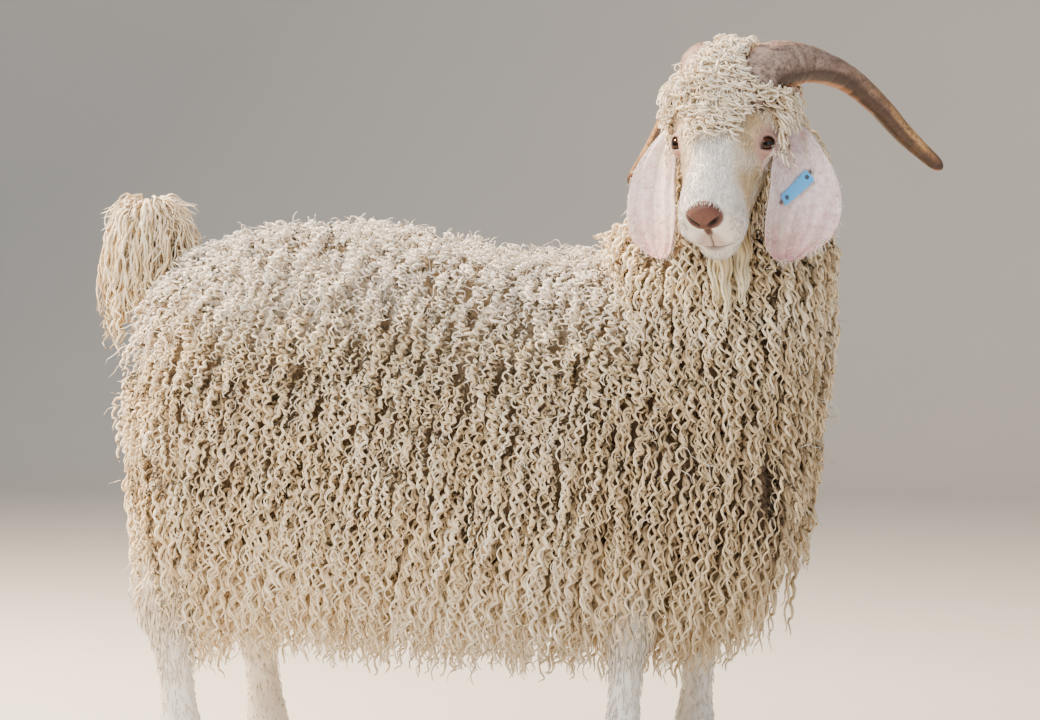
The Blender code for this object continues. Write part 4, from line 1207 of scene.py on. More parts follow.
def eye_axes(side):
    """The way the eye looks, towards the nose and up: level, whatever the pitch of the head."""
    sign = SIDES[side]
    out = unit(np.array([math.cos(EYE_TURN), sign * math.sin(EYE_TURN), 0.10]))
    fore = np.array([math.sin(EYE_TURN), -sign * math.cos(EYE_TURN), -0.22])
    fore = unit(fore - out * (fore @ out))
    up = np.cross(out, fore)
    up = up if up[2] > 0 else -up
    return out @ YAW_TURN.T, fore @ YAW_TURN.T, up @ YAW_TURN.T


def eye_middle(side):
    return from_head((EYE_AT[0], SIDES[side] * EYE_AT[1], EYE_AT[2]))


LID_OPEN = (math.radians(50), math.radians(34), math.radians(30))  # to the corners, up and down
LID_THICK = 0.0024


def lid_form(side):
    """A closed band round the eye, thick and rolled at the opening, that sinks into the face behind."""
    out, fore, up = eye_axes(side)
    a = around(84)[:, None]
    tall = np.where(np.sin(a) > 0, LID_OPEN[1], LID_OPEN[2])
    wide = LID_OPEN[0] * (1 + 0.10 * np.cos(a))
    edge = (np.abs(np.cos(a)) / wide) ** 1.75 + (np.abs(np.sin(a)) / tall) ** 1.75 + 1e-9
    edge = 1 / np.sqrt(edge) ** (2 / 1.75)
    q = np.array([0.0, 0.03, 0.10, 0.20, 0.34, 0.52, 0.74, 1.0])[None, :]
    polar = edge + (math.radians(112) - edge) * q
    fold = np.where(np.sin(a) > 0, 0.0009, 0.0006) * np.sin(q * 13.0) * (q > 0.12) * (q < 0.8)
    outer = EYE_RADIUS + LID_THICK * np.sqrt(np.clip(q / 0.10, 0, 1)) * 0.7 + 0.0007 + 0.0016 * q + fold
    inner = EYE_RADIUS + 0.0002 - 0.003 * (q > 0.3)
    radius = np.concatenate([outer + 0 * a, (inner + 0 * a)[:, ::-1]], 1)[..., None]
    polar = np.concatenate([polar, polar[:, ::-1]], 1)[..., None]
    turn = np.cos(a)[..., None] * fore + np.sin(a)[..., None] * up
    points = eye_middle(side) + radius * (np.cos(polar) * out + np.sin(polar) * turn)
    rows, count = points.shape[:2]
    return outward(points.reshape(-1, 3), rings_joined(rows, count)[0] % (rows * count))


EAR_FOLDS = ((0.0024, 8.0, 0.6), (0.0013, 15.0, 2.1), (0.0007, 26.0, 4.0))  # height, count, start


def ear_form(side):
    """The whole ear, with lengthwise folds inside and a rolled rim; its faces turn inwards."""
    s = np.linspace(0.0, 1.0, 130)[:, None]
    t = np.sin(np.linspace(-math.pi / 2, math.pi / 2, 61))[None, :]
    thick = EAR_THICK * (2.2 - 1.4 * np.minimum(1.0, s * 3)) / 2
    shell = thick * np.sqrt(np.clip(1 - 0.9 * t ** 4, 0, 1))
    inside = sum(h * np.sin(n * t + start + 2.2 * s * (1 + t)) for h, n, start in EAR_FOLDS)
    inside = inside * (1 - step_up(np.abs(t), 0.7, 0.97)) * step_up(s, 0.12, 0.4) * (1.1 - 0.5 * s)
    if side == "left":
        inside = inside * (1 - np.exp(-(((s - TAG_AT[0]) / 0.13) ** 4) - ((t - TAG_AT[1]) / 0.62) ** 4))
    curl = 0.0045 * step_up(np.abs(t), 0.62, 1.0) * step_up(s, 0.15, 0.5) * (1 - step_up(s, 0.86, 1.0))
    sheet = inside + curl
    s, t = np.broadcast_arrays(s, t)
    ahead, behind = ear_point(side, s, t, sheet + shell), ear_point(side, s, t, 0.8 * sheet - shell)
    points, quads, tris = outward(*loft(np.concatenate([ahead, behind[:, ::-1]], 1)))
    return points, quads[:, ::-1], tris[:, ::-1]


def united(obj, helpers):
    """One closed surface of obj and closed helper objects, which are removed."""
    for helper in helpers:
        union = obj.modifiers.new("join", "BOOLEAN")
        union.operation = "UNION"
        union.solver = "MANIFOLD"
        union.object = helper
    apply_all(obj)
    for helper in helpers:
        bpy.data.objects.remove(helper, do_unlink=True)
    return obj


def joined(obj, forms):
    """One closed surface of obj and closed forms."""
    return united(obj, [mesh_object("helper", *form) for form in forms])


def limb_form(side, place):
    """A leg through its sections."""
    sections = FORE_LEG if place == "fore" else HIND_LEG
    z = np.linspace(sections[0][0], sections[-1][0], 60)[:, None]
    shift, long_half, wide_half = columns(sections, z)
    a = around(40)[None, :]
    x = (FORE_X if place == "fore" else HIND_X)[side] + shift + long_half * np.cos(a)
    return loft(np.stack([x, LEG_Y[side] + wide_half * np.sin(a), z + 0 * a], -1))


def trunk_forms():
    a = around(64)[None, :]
    x = np.linspace(TORSO[0][0], TORSO[-1][0], 70)[:, None]
    z = np.linspace(NECK[0][0], NECK[-1][0], 60)[:, None]
    return [loft(torso_point(x, a)), loft(neck_point(z, a))]


def tail_form():
    z = np.linspace(TAIL[0][1], TAIL[-1][1], 30)[:, None]
    x, radius = columns([(z, x, r) for x, z, r in TAIL], z)
    a = around(24)[None, :]
    return loft(np.stack([x + radius * np.cos(a), radius * np.sin(a), z + 0 * a], -1))


def skin(settings):
    """One surface over the trunk, the head, the ears, the tail and the legs."""
    forms = trunk_forms() + [tail_form()]
    forms += [limb_form(side, place) for side in SIDES for place in ("fore", "hind")]
    f = np.linspace(HEAD[0][0], 0.03, 60)[:, None]
    forms.append(loft(head_point(f, around(64)[None, :], -0.0025)))
    obj = remeshed("skin", forms, BODY_VOXEL, 3)
    united(obj, [face_skin()])
    joined(obj, [ear_form(side) for side in SIDES] + [lid_form(side) for side in SIDES])
    paint_skin(obj)
    obj.data.name = "skin"
    nodes = ["torso", "neck", "head", "tail", "ear_left", "ear_right"]
    nodes += [f"leg_{place}_{side}" for place in ("fore", "hind") for side in SIDES]
    dress(obj, material_of("Goat skin", hide, settings), *nodes)
    return obj


def paint_skin(obj):
    """Where the skin is bare and pink, where it is dark, and where it is an ear."""
    points = points_of(obj)
    local = to_head(points)
    folded = mirrored(local)
    ear = np.zeros(len(points))
    inner = np.zeros(len(points))
    for side in SIDES:
        s, t, depth, beyond = ear_place(side, points)
        here = (np.abs(depth) < 0.012) & (beyond < 0.012) & (np.abs(t) < 1.3)
        ear = np.maximum(ear, here * step_up(s, 0.06, 0.2))
        inner = np.maximum(inner, here * (depth > 0) * step_up(s, 0.06, 0.2))
    eye = np.full(len(points), 1.0)
    for side in SIDES:
        eye = np.minimum(eye, np.linalg.norm(points - eye_middle(side), axis=-1))
    on_head = (local[:, 0] > -0.06) & (ear < 0.5)
    nostril = nostril_gap(folded)
    gap = mouth_gap(local)
    pad = blob(local, (0.134, 0.0, 0.003), (0.022, 0.027, 0.023))
    pad = np.maximum(pad, 0.8 * blob(local, (0.135, 0.0, -0.026), (0.014, 0.008, 0.018)))
    pad = step_up(pad, 0.34, 0.50)
    pink = 0.85 * (1 - step_up(eye, 0.0185, 0.034))
    pink = np.maximum(pink, 0.62 * step_up(blob(local, LIPS, (0.026, 0.026, 0.024)), 0.3, 0.8))
    # Painted shade: dark inside the nostrils, along the crease between the lips and in the groove of the
    # philtrum.
    dark = 1 - step_up(nostril, 0.5, 1.15)
    dark = np.maximum(dark, (1 - step_up(gap, 0.0012, 0.0036)) * step_up(local[:, 0], 0.068, 0.080))
    philtrum = (local[:, 0] > 0.112) & (local[:, 2] < -0.016) & (local[:, 2] > -0.060)
    dark = np.maximum(dark, 0.85 * philtrum * np.exp(-((local[:, 1] / 0.0014) ** 2)))
    lid = 1 - step_up(eye, EYE_RADIUS + 0.0009, EYE_RADIUS + 0.0030)
    attribute(obj, "pink", pink * on_head)
    attribute(obj, "pad", pad * on_head)
    attribute(obj, "cream", cream_share(local))
    attribute(obj, "low", step_up(-points[:, 2], -0.77, -0.68))
    marks = sum(blob(points, tag_point(at, 0.001), (0.0042, 0.0042, 0.0042)) for at in PIERCED)
    attribute(obj, "dark", np.clip(dark * on_head + marks, 0, 1))
    attribute(obj, "lid", lid * on_head)
    attribute(obj, "ear", ear)
    attribute(obj, "inner", inner)
    face = step_up(local[:, 0], -0.07, -0.02) * step_up(local[:, 2], -0.13, -0.10)
    face = np.maximum(face, 1 - step_up(points[:, 2], 0.26, 0.32))
    face = np.maximum(face, step_up(points[:, 2], 0.64, 0.68) * (points[:, 0] < -0.38))
    attribute(obj, "face", face)
    # Painted light: the skin between the locks is paler on the upper back, where more light falls.
    attribute(obj, "back", 0.7 * step_up(points[:, 2], 0.50, 0.62) * (points[:, 0] < 0.25))


def cream_share(local):
    """How cream the face is: white on the bridge of the nose and the muzzle, cream beside them."""
    side = step_up(np.abs(local[..., 1]), 0.016, 0.040) * step_up(0.100 - local[..., 0], 0.0, 0.030)
    return np.clip(side * (0.85 + 0.25 * soft_noise(local, 0.03, 11)), 0, 1)


# Short hair of the face, the ears and the legs


def short_hair(obj_skin, settings):
    """Flat tufts on the face, the ears and the legs, along the lie of the coat."""
    random = np.random.default_rng(SEED + 4)
    points, normals = points_of(obj_skin), normals_of(obj_skin)
    triangles = np.array([tuple(face.vertices[:3]) for face in obj_skin.data.polygons])
    a, b, c = (points[triangles[:, k]] for k in range(3))
    area = np.linalg.norm(np.cross(b - a, c - a), axis=-1)
    middle = (a + b + c) / 3
    local = to_head(middle)
    ears = in_ear_room(middle, 0.02, 0.02, 1.3)
    face = (local[:, 0] > -0.035) & (local[:, 2] > -0.12) & (np.abs(local[:, 1]) < 0.10) & ~ears
    face &= (local[:, 0] < 0.126) & (eye_gap(middle) > 0.0250) & (middle[:, 2] > 0.66)
    face[face] = (mouth_gap(local[face]) > 0.0050) | (local[face][:, 0] < 0.066)
    face &= blob(local, LIPS, (0.026, 0.026, 0.024)) < 0.62
    legs = (middle[:, 2] < 0.33) & (np.abs(np.abs(middle[:, 1]) - LEG_Y["left"]) < 0.06)
    material = coat_material("Short hair", settings, "hair")
    for name, chosen, count, length, width in (
        ("face_hair", face, 11000, 0.0095, 0.0011),
        ("ear_hair", ears & (middle[:, 2] < 0.86), 3600, 0.0100, 0.0011),
        ("leg_hair", legs, 6000, 0.018, 0.0032),
    ):
        weight = area * chosen
        pick = random.choice(len(weight), count, p=weight / weight.sum())
        w = random.dirichlet((1, 1, 1), count)
        corners = triangles[pick]
        root = (points[corners] * w[..., None]).sum(1)
        out = unit((normals[corners] * w[..., None]).sum(1))
        way = np.tile([0.0, 0.0, -1.0], (count, 1))
        long, thin, lift, white = length, width, np.array([-0.05, 0.15, 0.12]), 0.35
        place = leg_place(root) if name == "leg_hair" else head_place(root)
        if name == "face_hair":
            here = to_head(root)
            nose = step_up(here[:, 0], 0.02, 0.08)
            cheek = step_up(-here[:, 2], 0.005, 0.05) * (1 - nose)
            way = np.outer(0.6 + 0.8 * nose, HEAD_TURN[:, 0]) + np.outer(here[:, 1] * 4, HEAD_TURN[:, 1])
            way = way + [0, 0, -0.55]
            long, thin = length * (1 - 0.45 * nose + 1.3 * cheek), width * (1 + cheek)
            shade = 0.85 - 0.75 * cream_share(here) + random.normal(0, 0.12, count)
            white = 0.9 * (1 - cream_share(here))
        elif name == "ear_hair":
            way = way + 0.6 * random.normal(size=(count, 3))
            lift = lift * 2.2
            shade = 0.95 + random.normal(0, 0.1, count)
        else:
            high = step_up(root[:, 2], 0.10, 0.30)
            long, thin = length * (0.5 + 1.4 * high), width * (0.6 + high)
            shade = 0.75 - 0.6 * high + random.normal(0, 0.2, count)
        way = unit(way + random.normal(0, 0.16, (count, 3)))
        way = unit(way - out * dot(way, out))
        s = np.linspace(0, 1, 3)[None, :, None]
        reach = (long * random.uniform(0.7, 1.3, count))[:, None, None]
        lines = root[:, None] + way[:, None] * s * reach + out[:, None] * lift[None, :, None] * reach
        thin = thin * random.uniform(0.7, 1.3, count)
        tufts = locks(lines, np.repeat(out[:, None], 3, 1), thin, thin * 0.45)
        coat_piece(name, tufts, place, {"shade": np.clip(shade, 0, 1), "white": white}, material)


# Horns, eyes, hooves and tag

HORN_RIDGES = 15


def horn(side):
    """A horn with rings, a keel and a blunt end, and where its rings, its length and its underside are."""
    count, rows = 40, 240
    t = np.linspace(0, 1, rows)
    line = horn_line(side, t)
    ahead = unit(np.gradient(line, axis=0))
    across = unit(np.cross(ahead, np.array([0, 0, 1.0])))
    up = np.cross(across, ahead)
    twist = SIDES[side] * HORN_TWIST * t
    wide, thin = columns(HORN_GIRTH, t)
    a = around(count)
    first = np.cos(twist)[:, None] * across + np.sin(twist)[:, None] * up
    second = np.cos(twist)[:, None] * up - np.sin(twist)[:, None] * across
    swing = t * HORN_RIDGES + 0.35 * np.sin(t * 21)
    ridge = np.abs(np.sin(math.pi * swing)) ** 0.6
    keel = 0.10 * np.exp(-(((a - math.pi / 2) / 0.35) ** 2)) * (1 - t[:, None])
    uneven = 0.012 * np.sin(3 * a + 5 * t[:, None]) + 0.010 * np.sin(7 * a - 9 * t[:, None])
    swell = 1 - 0.06 * (1 - ridge[:, None]) * (1 - 0.75 * t[:, None]) + keel + uneven - 0.02
    end = np.sqrt(np.clip(1 - np.clip((t - 0.965) / 0.035, 0, 1) ** 2.2, 0.02, 1))
    size = swell * end[:, None]
    ring = first[:, None] * (np.cos(a) * size * thin[:, None])[..., None]
    ring = ring + second[:, None] * (np.sin(a) * size * wide[:, None])[..., None]
    points, quads, tris = loft((line[:, None] + ring)[:, ::-1])
    obj = mesh_object("horn_" + side, points, quads, tris)
    attribute(obj, "length", np.concatenate([np.repeat(t, count), [0, 1]]))
    attribute(obj, "ridge", np.concatenate([np.repeat(ridge, count), [0, 1]]))
    attribute(obj, "under", 0.5 - 0.5 * normals_of(obj)[:, 2])
    return obj


def eye(side):
    """The ball with a cornea, its pole where the pupil is."""
    out, fore, up = eye_axes(side)
    polar = np.radians(np.concatenate([np.linspace(1, 60, 50), np.linspace(63, 179, 36)]))[:, None]
    a = around(64)[None, :]
    bulge = 0.0011 * np.exp(-((polar / math.radians(30)) ** 4))
    radius = EYE_RADIUS - 0.0012 + bulge
    turn = np.cos(a)[..., None] * fore + np.sin(a)[..., None] * up
    ring = radius[..., None] * (np.cos(polar)[..., None] * out + np.sin(polar)[..., None] * turn)
    obj = mesh_object("eye_" + side, *loft(eye_middle(side) + ring))
    flat = np.stack([np.sin(polar) * np.cos(a), np.sin(polar) * np.sin(a)], -1).reshape(-1, 2)
    flat = np.concatenate([flat, [[0, 0], [0, 0]]])
    attribute(obj, "across", flat[:, 0])
    attribute(obj, "upward", flat[:, 1])
    return obj


def hoof(place, side):
    """Two toes with a cleft between them, joined by the heel."""
    x0 = (FORE_X if place == "fore" else HIND_X)[side] + HOOF_TOE
    z = np.array([0.0, 0.0008, 0.003, 0.007, 0.012, 0.018, 0.024, 0.030, 0.0345, 0.0362])[:, None]
    long_half, width = columns(HOOF, z)
    bevel = np.interp(z, (0, 0.0008, 0.003, 1), (0.93, 0.98, 1, 1))
    ridges = 1 + 0.008 * np.sin(z * 1400)
    a = around(40)[None, :]
    forms = []
    for sign in (-1, 1):
        toe = np.where(np.cos(a) > 0, 1.0, 0.72)
        x = x0 - 0.20 * z + long_half * bevel * ridges * power(np.cos(a), 0.85) * toe
        y = LEG_Y[side] + sign * (HOOF_SPLIT + width / 2) + width / 2 * bevel * power(np.sin(a), 0.85)
        forms.append(loft(np.stack([x, y, z + 0 * a], -1)))
    forms.append(ball((x0 - 0.012, LEG_Y[side], 0.024), (0.018, 0.013, 0.012)))
    obj = mesh_object(f"hoof_{place}_{side}", *forms[0])
    return joined(obj, forms[1:])


TAG_TEETH = 13
RIVETS = (-0.38, 0.38)
PIERCED = (-0.56, 0.58)


def tag_point(at, lift):
    """A point at a share of the tag's length from its middle, lift above the sheet of the ear."""
    s = TAG_AT[0] - at * TAG_SIZE[0] * math.sin(TAG_TURN) / EAR_LENGTH
    t = TAG_AT[1] + at * TAG_SIZE[0] * math.cos(TAG_TURN) / along(EAR_WIDTH, TAG_AT[0])[0]
    return ear_point("left", np.array(s), np.array(t), np.array(lift))


def tag():
    """The strip of the tag along the sheet of the ear, faintly toothed on one edge, and its rivets."""
    length, width, thick = TAG_SIZE
    half = along(EAR_WIDTH, TAG_AT[0])[0]
    run = np.linspace(-0.5, 0.5, 157)[:, None]
    v = np.linspace(-0.5, 0.5, 9)[None, :]
    tooth = 0.16 * np.abs(((run + 0.5) * TAG_TEETH) % 1 - 0.5) * 2
    over = (v + tooth * step_up(-v, 0.2, 0.5)) * width
    over = over * (1 - 0.18 * step_up(np.abs(run), 0.465, 0.5))
    s = TAG_AT[0] - (run * length * math.sin(TAG_TURN) - over * math.cos(TAG_TURN)) / EAR_LENGTH
    t = TAG_AT[1] + (run * length * math.cos(TAG_TURN) + over * math.sin(TAG_TURN)) / half
    base = EAR_THICK / 2 + 0.0012
    low, high = ear_point("left", s, t, base), ear_point("left", s, t, base + thick)
    obj = mesh_object("ear_tag", *outward(*loft(np.concatenate([low, high[:, ::-1]], 1))))
    turn = np.array(Vector(ear_axes("left")[1]).to_track_quat("Z", "Y").to_matrix())
    forms = [ball(tag_point(at, base + thick), (0.0030, 0.0030, 0.0014), turn) for at in RIVETS]
    return obj, mesh_object("tag_rivets", *merged(forms))


# Materials


def mixed(tree, a, b, factor):
    """Colour a turning into b by a factor."""
    made = node(tree, "ShaderNodeMix", data_type="RGBA")
    for key, value in (("Factor_Float", factor), ("A_Color", rgba(a)), ("B_Color", rgba(b))):
        socket = next(s for s in made.inputs if s.identifier == key)
        if isinstance(value, bpy.types.NodeSocket):
            tree.links.new(value, socket)
        else:
            socket.default_value = value
    return next(s for s in made.outputs if s.identifier == "Result_Color")


def fac(tree, name):
    return node(tree, "ShaderNodeAttribute", attribute_name=name).outputs["Fac"]


def place_on(tree):
    return node(tree, "ShaderNodeTexCoord").outputs["Object"]


def noise(tree, place, scale, detail, **more):
    """Noise with so many waves to the metre."""
    inputs = {"Vector": place, "Scale": scale, "Detail": detail, **more}
    return node(tree, "ShaderNodeTexNoise", inputs).outputs["Fac"]


def toned(tree, factor, *stops):
    """A factor turned into the colours of its stops."""
    return node(tree, "ShaderNodeValToRGB", {"Fac": factor}, stops).outputs["Color"]


def computed(tree, operation, *values):
    return node(tree, "ShaderNodeMath", dict(enumerate(values)), operation=operation).outputs[0]


def mapped(tree, value, low, high, to_low=0.0, to_high=1.0):
    """A value from low to high as one from to_low to to_high."""
    inputs = {"Value": value, "From Min": low, "From Max": high, "To Min": to_low, "To Max": to_high}
    return node(tree, "ShaderNodeMapRange", inputs).outputs["Result"]


def length_of(tree, x, y):
    pair = node(tree, "ShaderNodeCombineXYZ", {"X": x, "Y": y}).outputs[0]
    return node(tree, "ShaderNodeVectorMath", {0: pair}, operation="LENGTH").outputs["Value"]


def bumped(tree, height, strength, distance):
    inputs = {"Height": height, "Strength": strength, "Distance": distance}
    return node(tree, "ShaderNodeBump", inputs).outputs["Normal"]


def mohair(tree, shader, light, mid, deep):
    """Lustrous hair: shadowed at the root, paler outside, with fine strands along each lock."""
    fibre = node(tree, "ShaderNodeUVMap", uv_map="Fibre").outputs["UV"]
    stretched = node(tree, "ShaderNodeMapping", {"Vector": fibre, "Scale": (26.0, 3.0, 1.0)})
    strands, white = noise(tree, stretched.outputs["Vector"], 1.0, 3.0), fac(tree, "white")
    tone = 0.05
    shares = ((fac(tree, "along"), 0.45), (fac(tree, "shade"), 0.42), (strands, 0.35), (white, 0.20))
    for part, share in shares:
        tone = computed(tree, "MULTIPLY_ADD", part, share, tone)
    colour = toned(tree, tone, (0.22, deep), (0.55, mid), (0.95, light))
    # The white attribute mixes towards near-white: the whiteness of the hair, and on the back of the fleece a
    # painted sheen.
    fill(tree, shader, {
        "Base Color": mixed(tree, colour, "#f4f0ec", computed(tree, "MULTIPLY", white, 0.60)),
        "Normal": bumped(tree, strands, 0.55, 0.0006),
        "Roughness": 0.52,
        "IOR": 1.45,
        "Specular IOR Level": 0.35,
        "Sheen Weight": 0.12,
        "Sheen Roughness": 0.4,
    })


def coat_material(name, settings, key):
    """A hair material in the three tones that the settings give for a part of the coat."""
    tones = [(*getattr(settings, f"{key}_{tone}"), 1.0) for tone in ("light", "mid", "deep")]
    return material_of(name, mohair, *tones)


def hide(tree, shader, settings):
    """Skin: painted shade under the fleece, dark tan between the locks and paler on the upper back as painted
    light; white haired face, bare pink nose and lids, pink ears with veins.
    """
    place = place_on(tree)
    mottle, pores = noise(tree, place, 55.0, 5.0), noise(tree, place, 700.0, 2.0)
    hair = noise(tree, place, 260.0, 4.0, Distortion=0.6)
    deep, mid = (*settings.fleece_deep, 1.0), (*settings.fleece_mid, 1.0)
    lit_gaps = mixed(tree, deep, mid, hair)
    # Painted shade: the skin under the fleece is dark brown between the locks; painted light makes it paler
    # on the upper back.
    base = mixed(tree, mixed(tree, "#54432f", deep, hair), lit_gaps, fac(tree, "back"))
    cream = mixed(tree, "#d2ab76", "#ecd2a4", hair)
    white = mixed(tree, mixed(tree, "#efe5d6", "#fbf6ee", hair), cream, fac(tree, "cream"))
    patches = toned(tree, noise(tree, place, 120.0, 7.0, Roughness=0.7), (0.38, 0.0), (0.72, 1.0))
    ear_low = mixed(tree, "#dfaeaa", "#ad686a", patches)
    ear_skin = mixed(tree, mixed(tree, "#f6e6e2", "#cfa1a6", patches), ear_low, fac(tree, "low"))
    ears = mixed(tree, mixed(tree, "#efe2d6", "#dcc3b8", mottle), ear_skin, fac(tree, "inner"))
    for look, where in (
        (white, "face"),
        (mixed(tree, "#c4958a", "#96665c", mottle), "pink"),
        (mixed(tree, "#7c4a38", "#432418", pores), "pad"),
        (ears, "ear"),
        ("#3a1a14", "lid"),
        # The dark colour is painted shade in the nostrils, the lips' crease and the philtrum, and also marks
        # the piercings of the tag.
        ("#2a1c1a", "dark"),
    ):
        base = mixed(tree, base, look, fac(tree, where))
    fill(tree, shader, {
        "Base Color": base,
        "Normal": bumped(tree, computed(tree, "ADD", pores, hair), 0.35, 0.0006),
        "Roughness": 0.55,
        "Subsurface Weight": 0.12,
        "Subsurface Radius": (0.008, 0.003, 0.002),
        "Sheen Weight": 0.15,
    })


def ram_horn(tree, shader):
    """Horn: pale and pinkish above with brown freckles, amber to a dark tip, with grooves; painted shade
    below and in the grooves, painted warm light on the faces turned straight down.
    """
    place = place_on(tree)
    blotch, streak = noise(tree, place, 60.0, 6.0, Roughness=0.65), noise(tree, place, 240.0, 4.0)
    pale = ((0.10, "#b89c8c"), (0.48, "#94796a"), (0.74, "#a07850"))
    base = toned(tree, fac(tree, "length"), *pale, (0.90, "#c9985c"), (0.985, "#5a2c16"))
    dark = toned(tree, blotch, (0.42, 0.0), (0.60, 1.0))
    base = mixed(tree, base, "#5e4436", computed(tree, "MULTIPLY", dark, 0.62))
    base = mixed(tree, base, "#4a3327", mapped(tree, streak, 0.50, 0.66, to_high=0.55))
    # Painted shade darkens the faces turned down, and painted warm light lies on those turned straight down.
    under = fac(tree, "under")
    base = mixed(tree, base, "#3a251b", toned(tree, under, (0.46, 0.0), (0.64, 0.9), (0.86, 0.85)))
    base = mixed(tree, base, "#b5713c", mapped(tree, under, 0.88, 0.97))
    # Painted shade in the grooves between the rings.
    base = mixed(tree, "#6e5246", base, mapped(tree, fac(tree, "ridge"), 0.0, 0.35, to_low=0.5))
    fill(tree, shader, {"Base Color": base, "Normal": bumped(tree, streak, 0.5, 0.0009), "Roughness": 0.48})


def goat_eye(tree, shader):
    """Eye: dark brown iris with a wide flat pupil, under a wet clear coat."""
    across, upward = fac(tree, "across"), fac(tree, "upward")
    pupil = length_of(tree, computed(tree, "DIVIDE", across, 0.52), computed(tree, "DIVIDE", upward, 0.20))
    rings = ((0.25, "#4a240c"), (0.60, "#2c1206"), (0.80, "#0c0604"), (0.90, "#3b2a22"))
    iris = toned(tree, length_of(tree, across, upward), *rings)
    fill(tree, shader, {
        "Base Color": mixed(tree, "#050404", iris, mapped(tree, pupil, 0.85, 1.1)),
        "Roughness": 0.10,
        "IOR": 1.376,
        "Specular IOR Level": 0.25,
        "Coat Weight": 0.25,
        "Coat Roughness": 0.02,
    })


def plain(tree, shader, light, dark, roughness, scale):
    """A plain surface with a faint mottle."""
    mottle = noise(tree, place_on(tree), scale, 4.0)
    look = {"Base Color": mixed(tree, light, dark, mottle), "Normal": bumped(tree, mottle, 0.15, 0.0005)}
    fill(tree, shader, {**look, "Roughness": roughness})


# Stage

CAMERA_TARGET = Vector((0.037, 0.0, 0.558))
CAMERA_TURN = math.radians(8)
CAMERA_RISE = math.radians(1.8)
CAMERA_LENS = 160
CAMERA_FILM = 36
CAMERA_WIDTH = 1.331  # of the picture at the target
LIGHTS = (  # place, size, watts, colour
    ("sun", (-2.6, 0.9, 3.2), 0.7, 730, "#ffe4c2"),
    ("sky", (-1.2, -2.8, 3.4), 2.2, 204, "#f8f9fa"),
    ("fill", (3.4, -1.6, 1.4), 2.0, 26, "#e3ecff"),
)
FLOOR_FRONT, FLOOR_BACK, FLOOR_SIDE = -9.0, 6.4, 12.0  # of its level part
FLOOR_BEND, FLOOR_TOP = 2.0, 9.0


def aimed(name, data, place, way):
    """A camera or a light at a place, turned towards a way."""
    obj = bpy.data.objects.new(name, data)
    obj.location = place
    obj.rotation_euler = way.to_track_quat("-Z", "Y").to_euler()
    bpy.context.scene.collection.objects.link(obj)
    return obj


def area_light(name, place, size, power_watts, colour, target):
    """A square lamp turned towards the target."""
    light = bpy.data.lights.new(name, "AREA")
    light.size = size
    light.energy = power_watts
    light.color = linear(colour)[:3]
    return aimed(name, light, place, Vector(target) - Vector(place))


def floor_sheet():
    """A pale sweep: level under the hooves, then up behind."""
    a = np.radians(np.arange(0, 91, 6))
    bend = np.stack([FLOOR_BACK + FLOOR_BEND * np.sin(a), FLOOR_BEND - FLOOR_BEND * np.cos(a)], -1)
    line = np.concatenate([[(FLOOR_FRONT, 0.0)], bend, [(FLOOR_BACK + FLOOR_BEND, FLOOR_TOP)]])
    points = np.array([(x, y, z) for y, z in line for x in (-FLOOR_SIDE, FLOOR_SIDE)]) - SHIFT
    k = np.arange(len(line) - 1) * 2
    obj = mesh_object("floor", points, np.stack([k, k + 1, k + 3, k + 2], -1))
    obj.data.materials.append(material_of("Studio paper", plain, "#d9d5cf", "#dedad4", 0.9, 3.0))
    obj.data.shade_smooth()
    return obj


def stage():
    """The camera of the photo, the floor, three soft lights and a pale sky."""
    target = CAMERA_TARGET + Vector(SHIFT)
    level = math.cos(CAMERA_RISE)
    way = Vector((math.sin(CAMERA_TURN) * level, -math.cos(CAMERA_TURN) * level, math.sin(CAMERA_RISE)))
    lens = bpy.data.cameras.new("camera")
    lens.lens = CAMERA_LENS
    lens.sensor_width = CAMERA_FILM
    camera = aimed("camera", lens, target + way * CAMERA_WIDTH * CAMERA_LENS / CAMERA_FILM, -way)
    bpy.context.scene.camera = camera
    made = [camera, floor_sheet()] + [area_light(*light, target) for light in LIGHTS]
    world = bpy.data.worlds.new("studio")
    world.use_nodes = True
    fill(world.node_tree, world.node_tree.nodes["Background"], {"Color": linear("#dfe4ea"), "Strength": 0.45})
    bpy.context.scene.world = world


# Add-on


def length_prop(name, description, default):
    return bpy.props.FloatProperty(
        name=name, description=description, default=default, subtype="DISTANCE", unit="LENGTH"
    )


def colour_prop(name, description, hex_colour):
    return bpy.props.FloatVectorProperty(
        name=name, description=description, default=linear(hex_colour)[:3], subtype="COLOR", min=0, max=1
    )


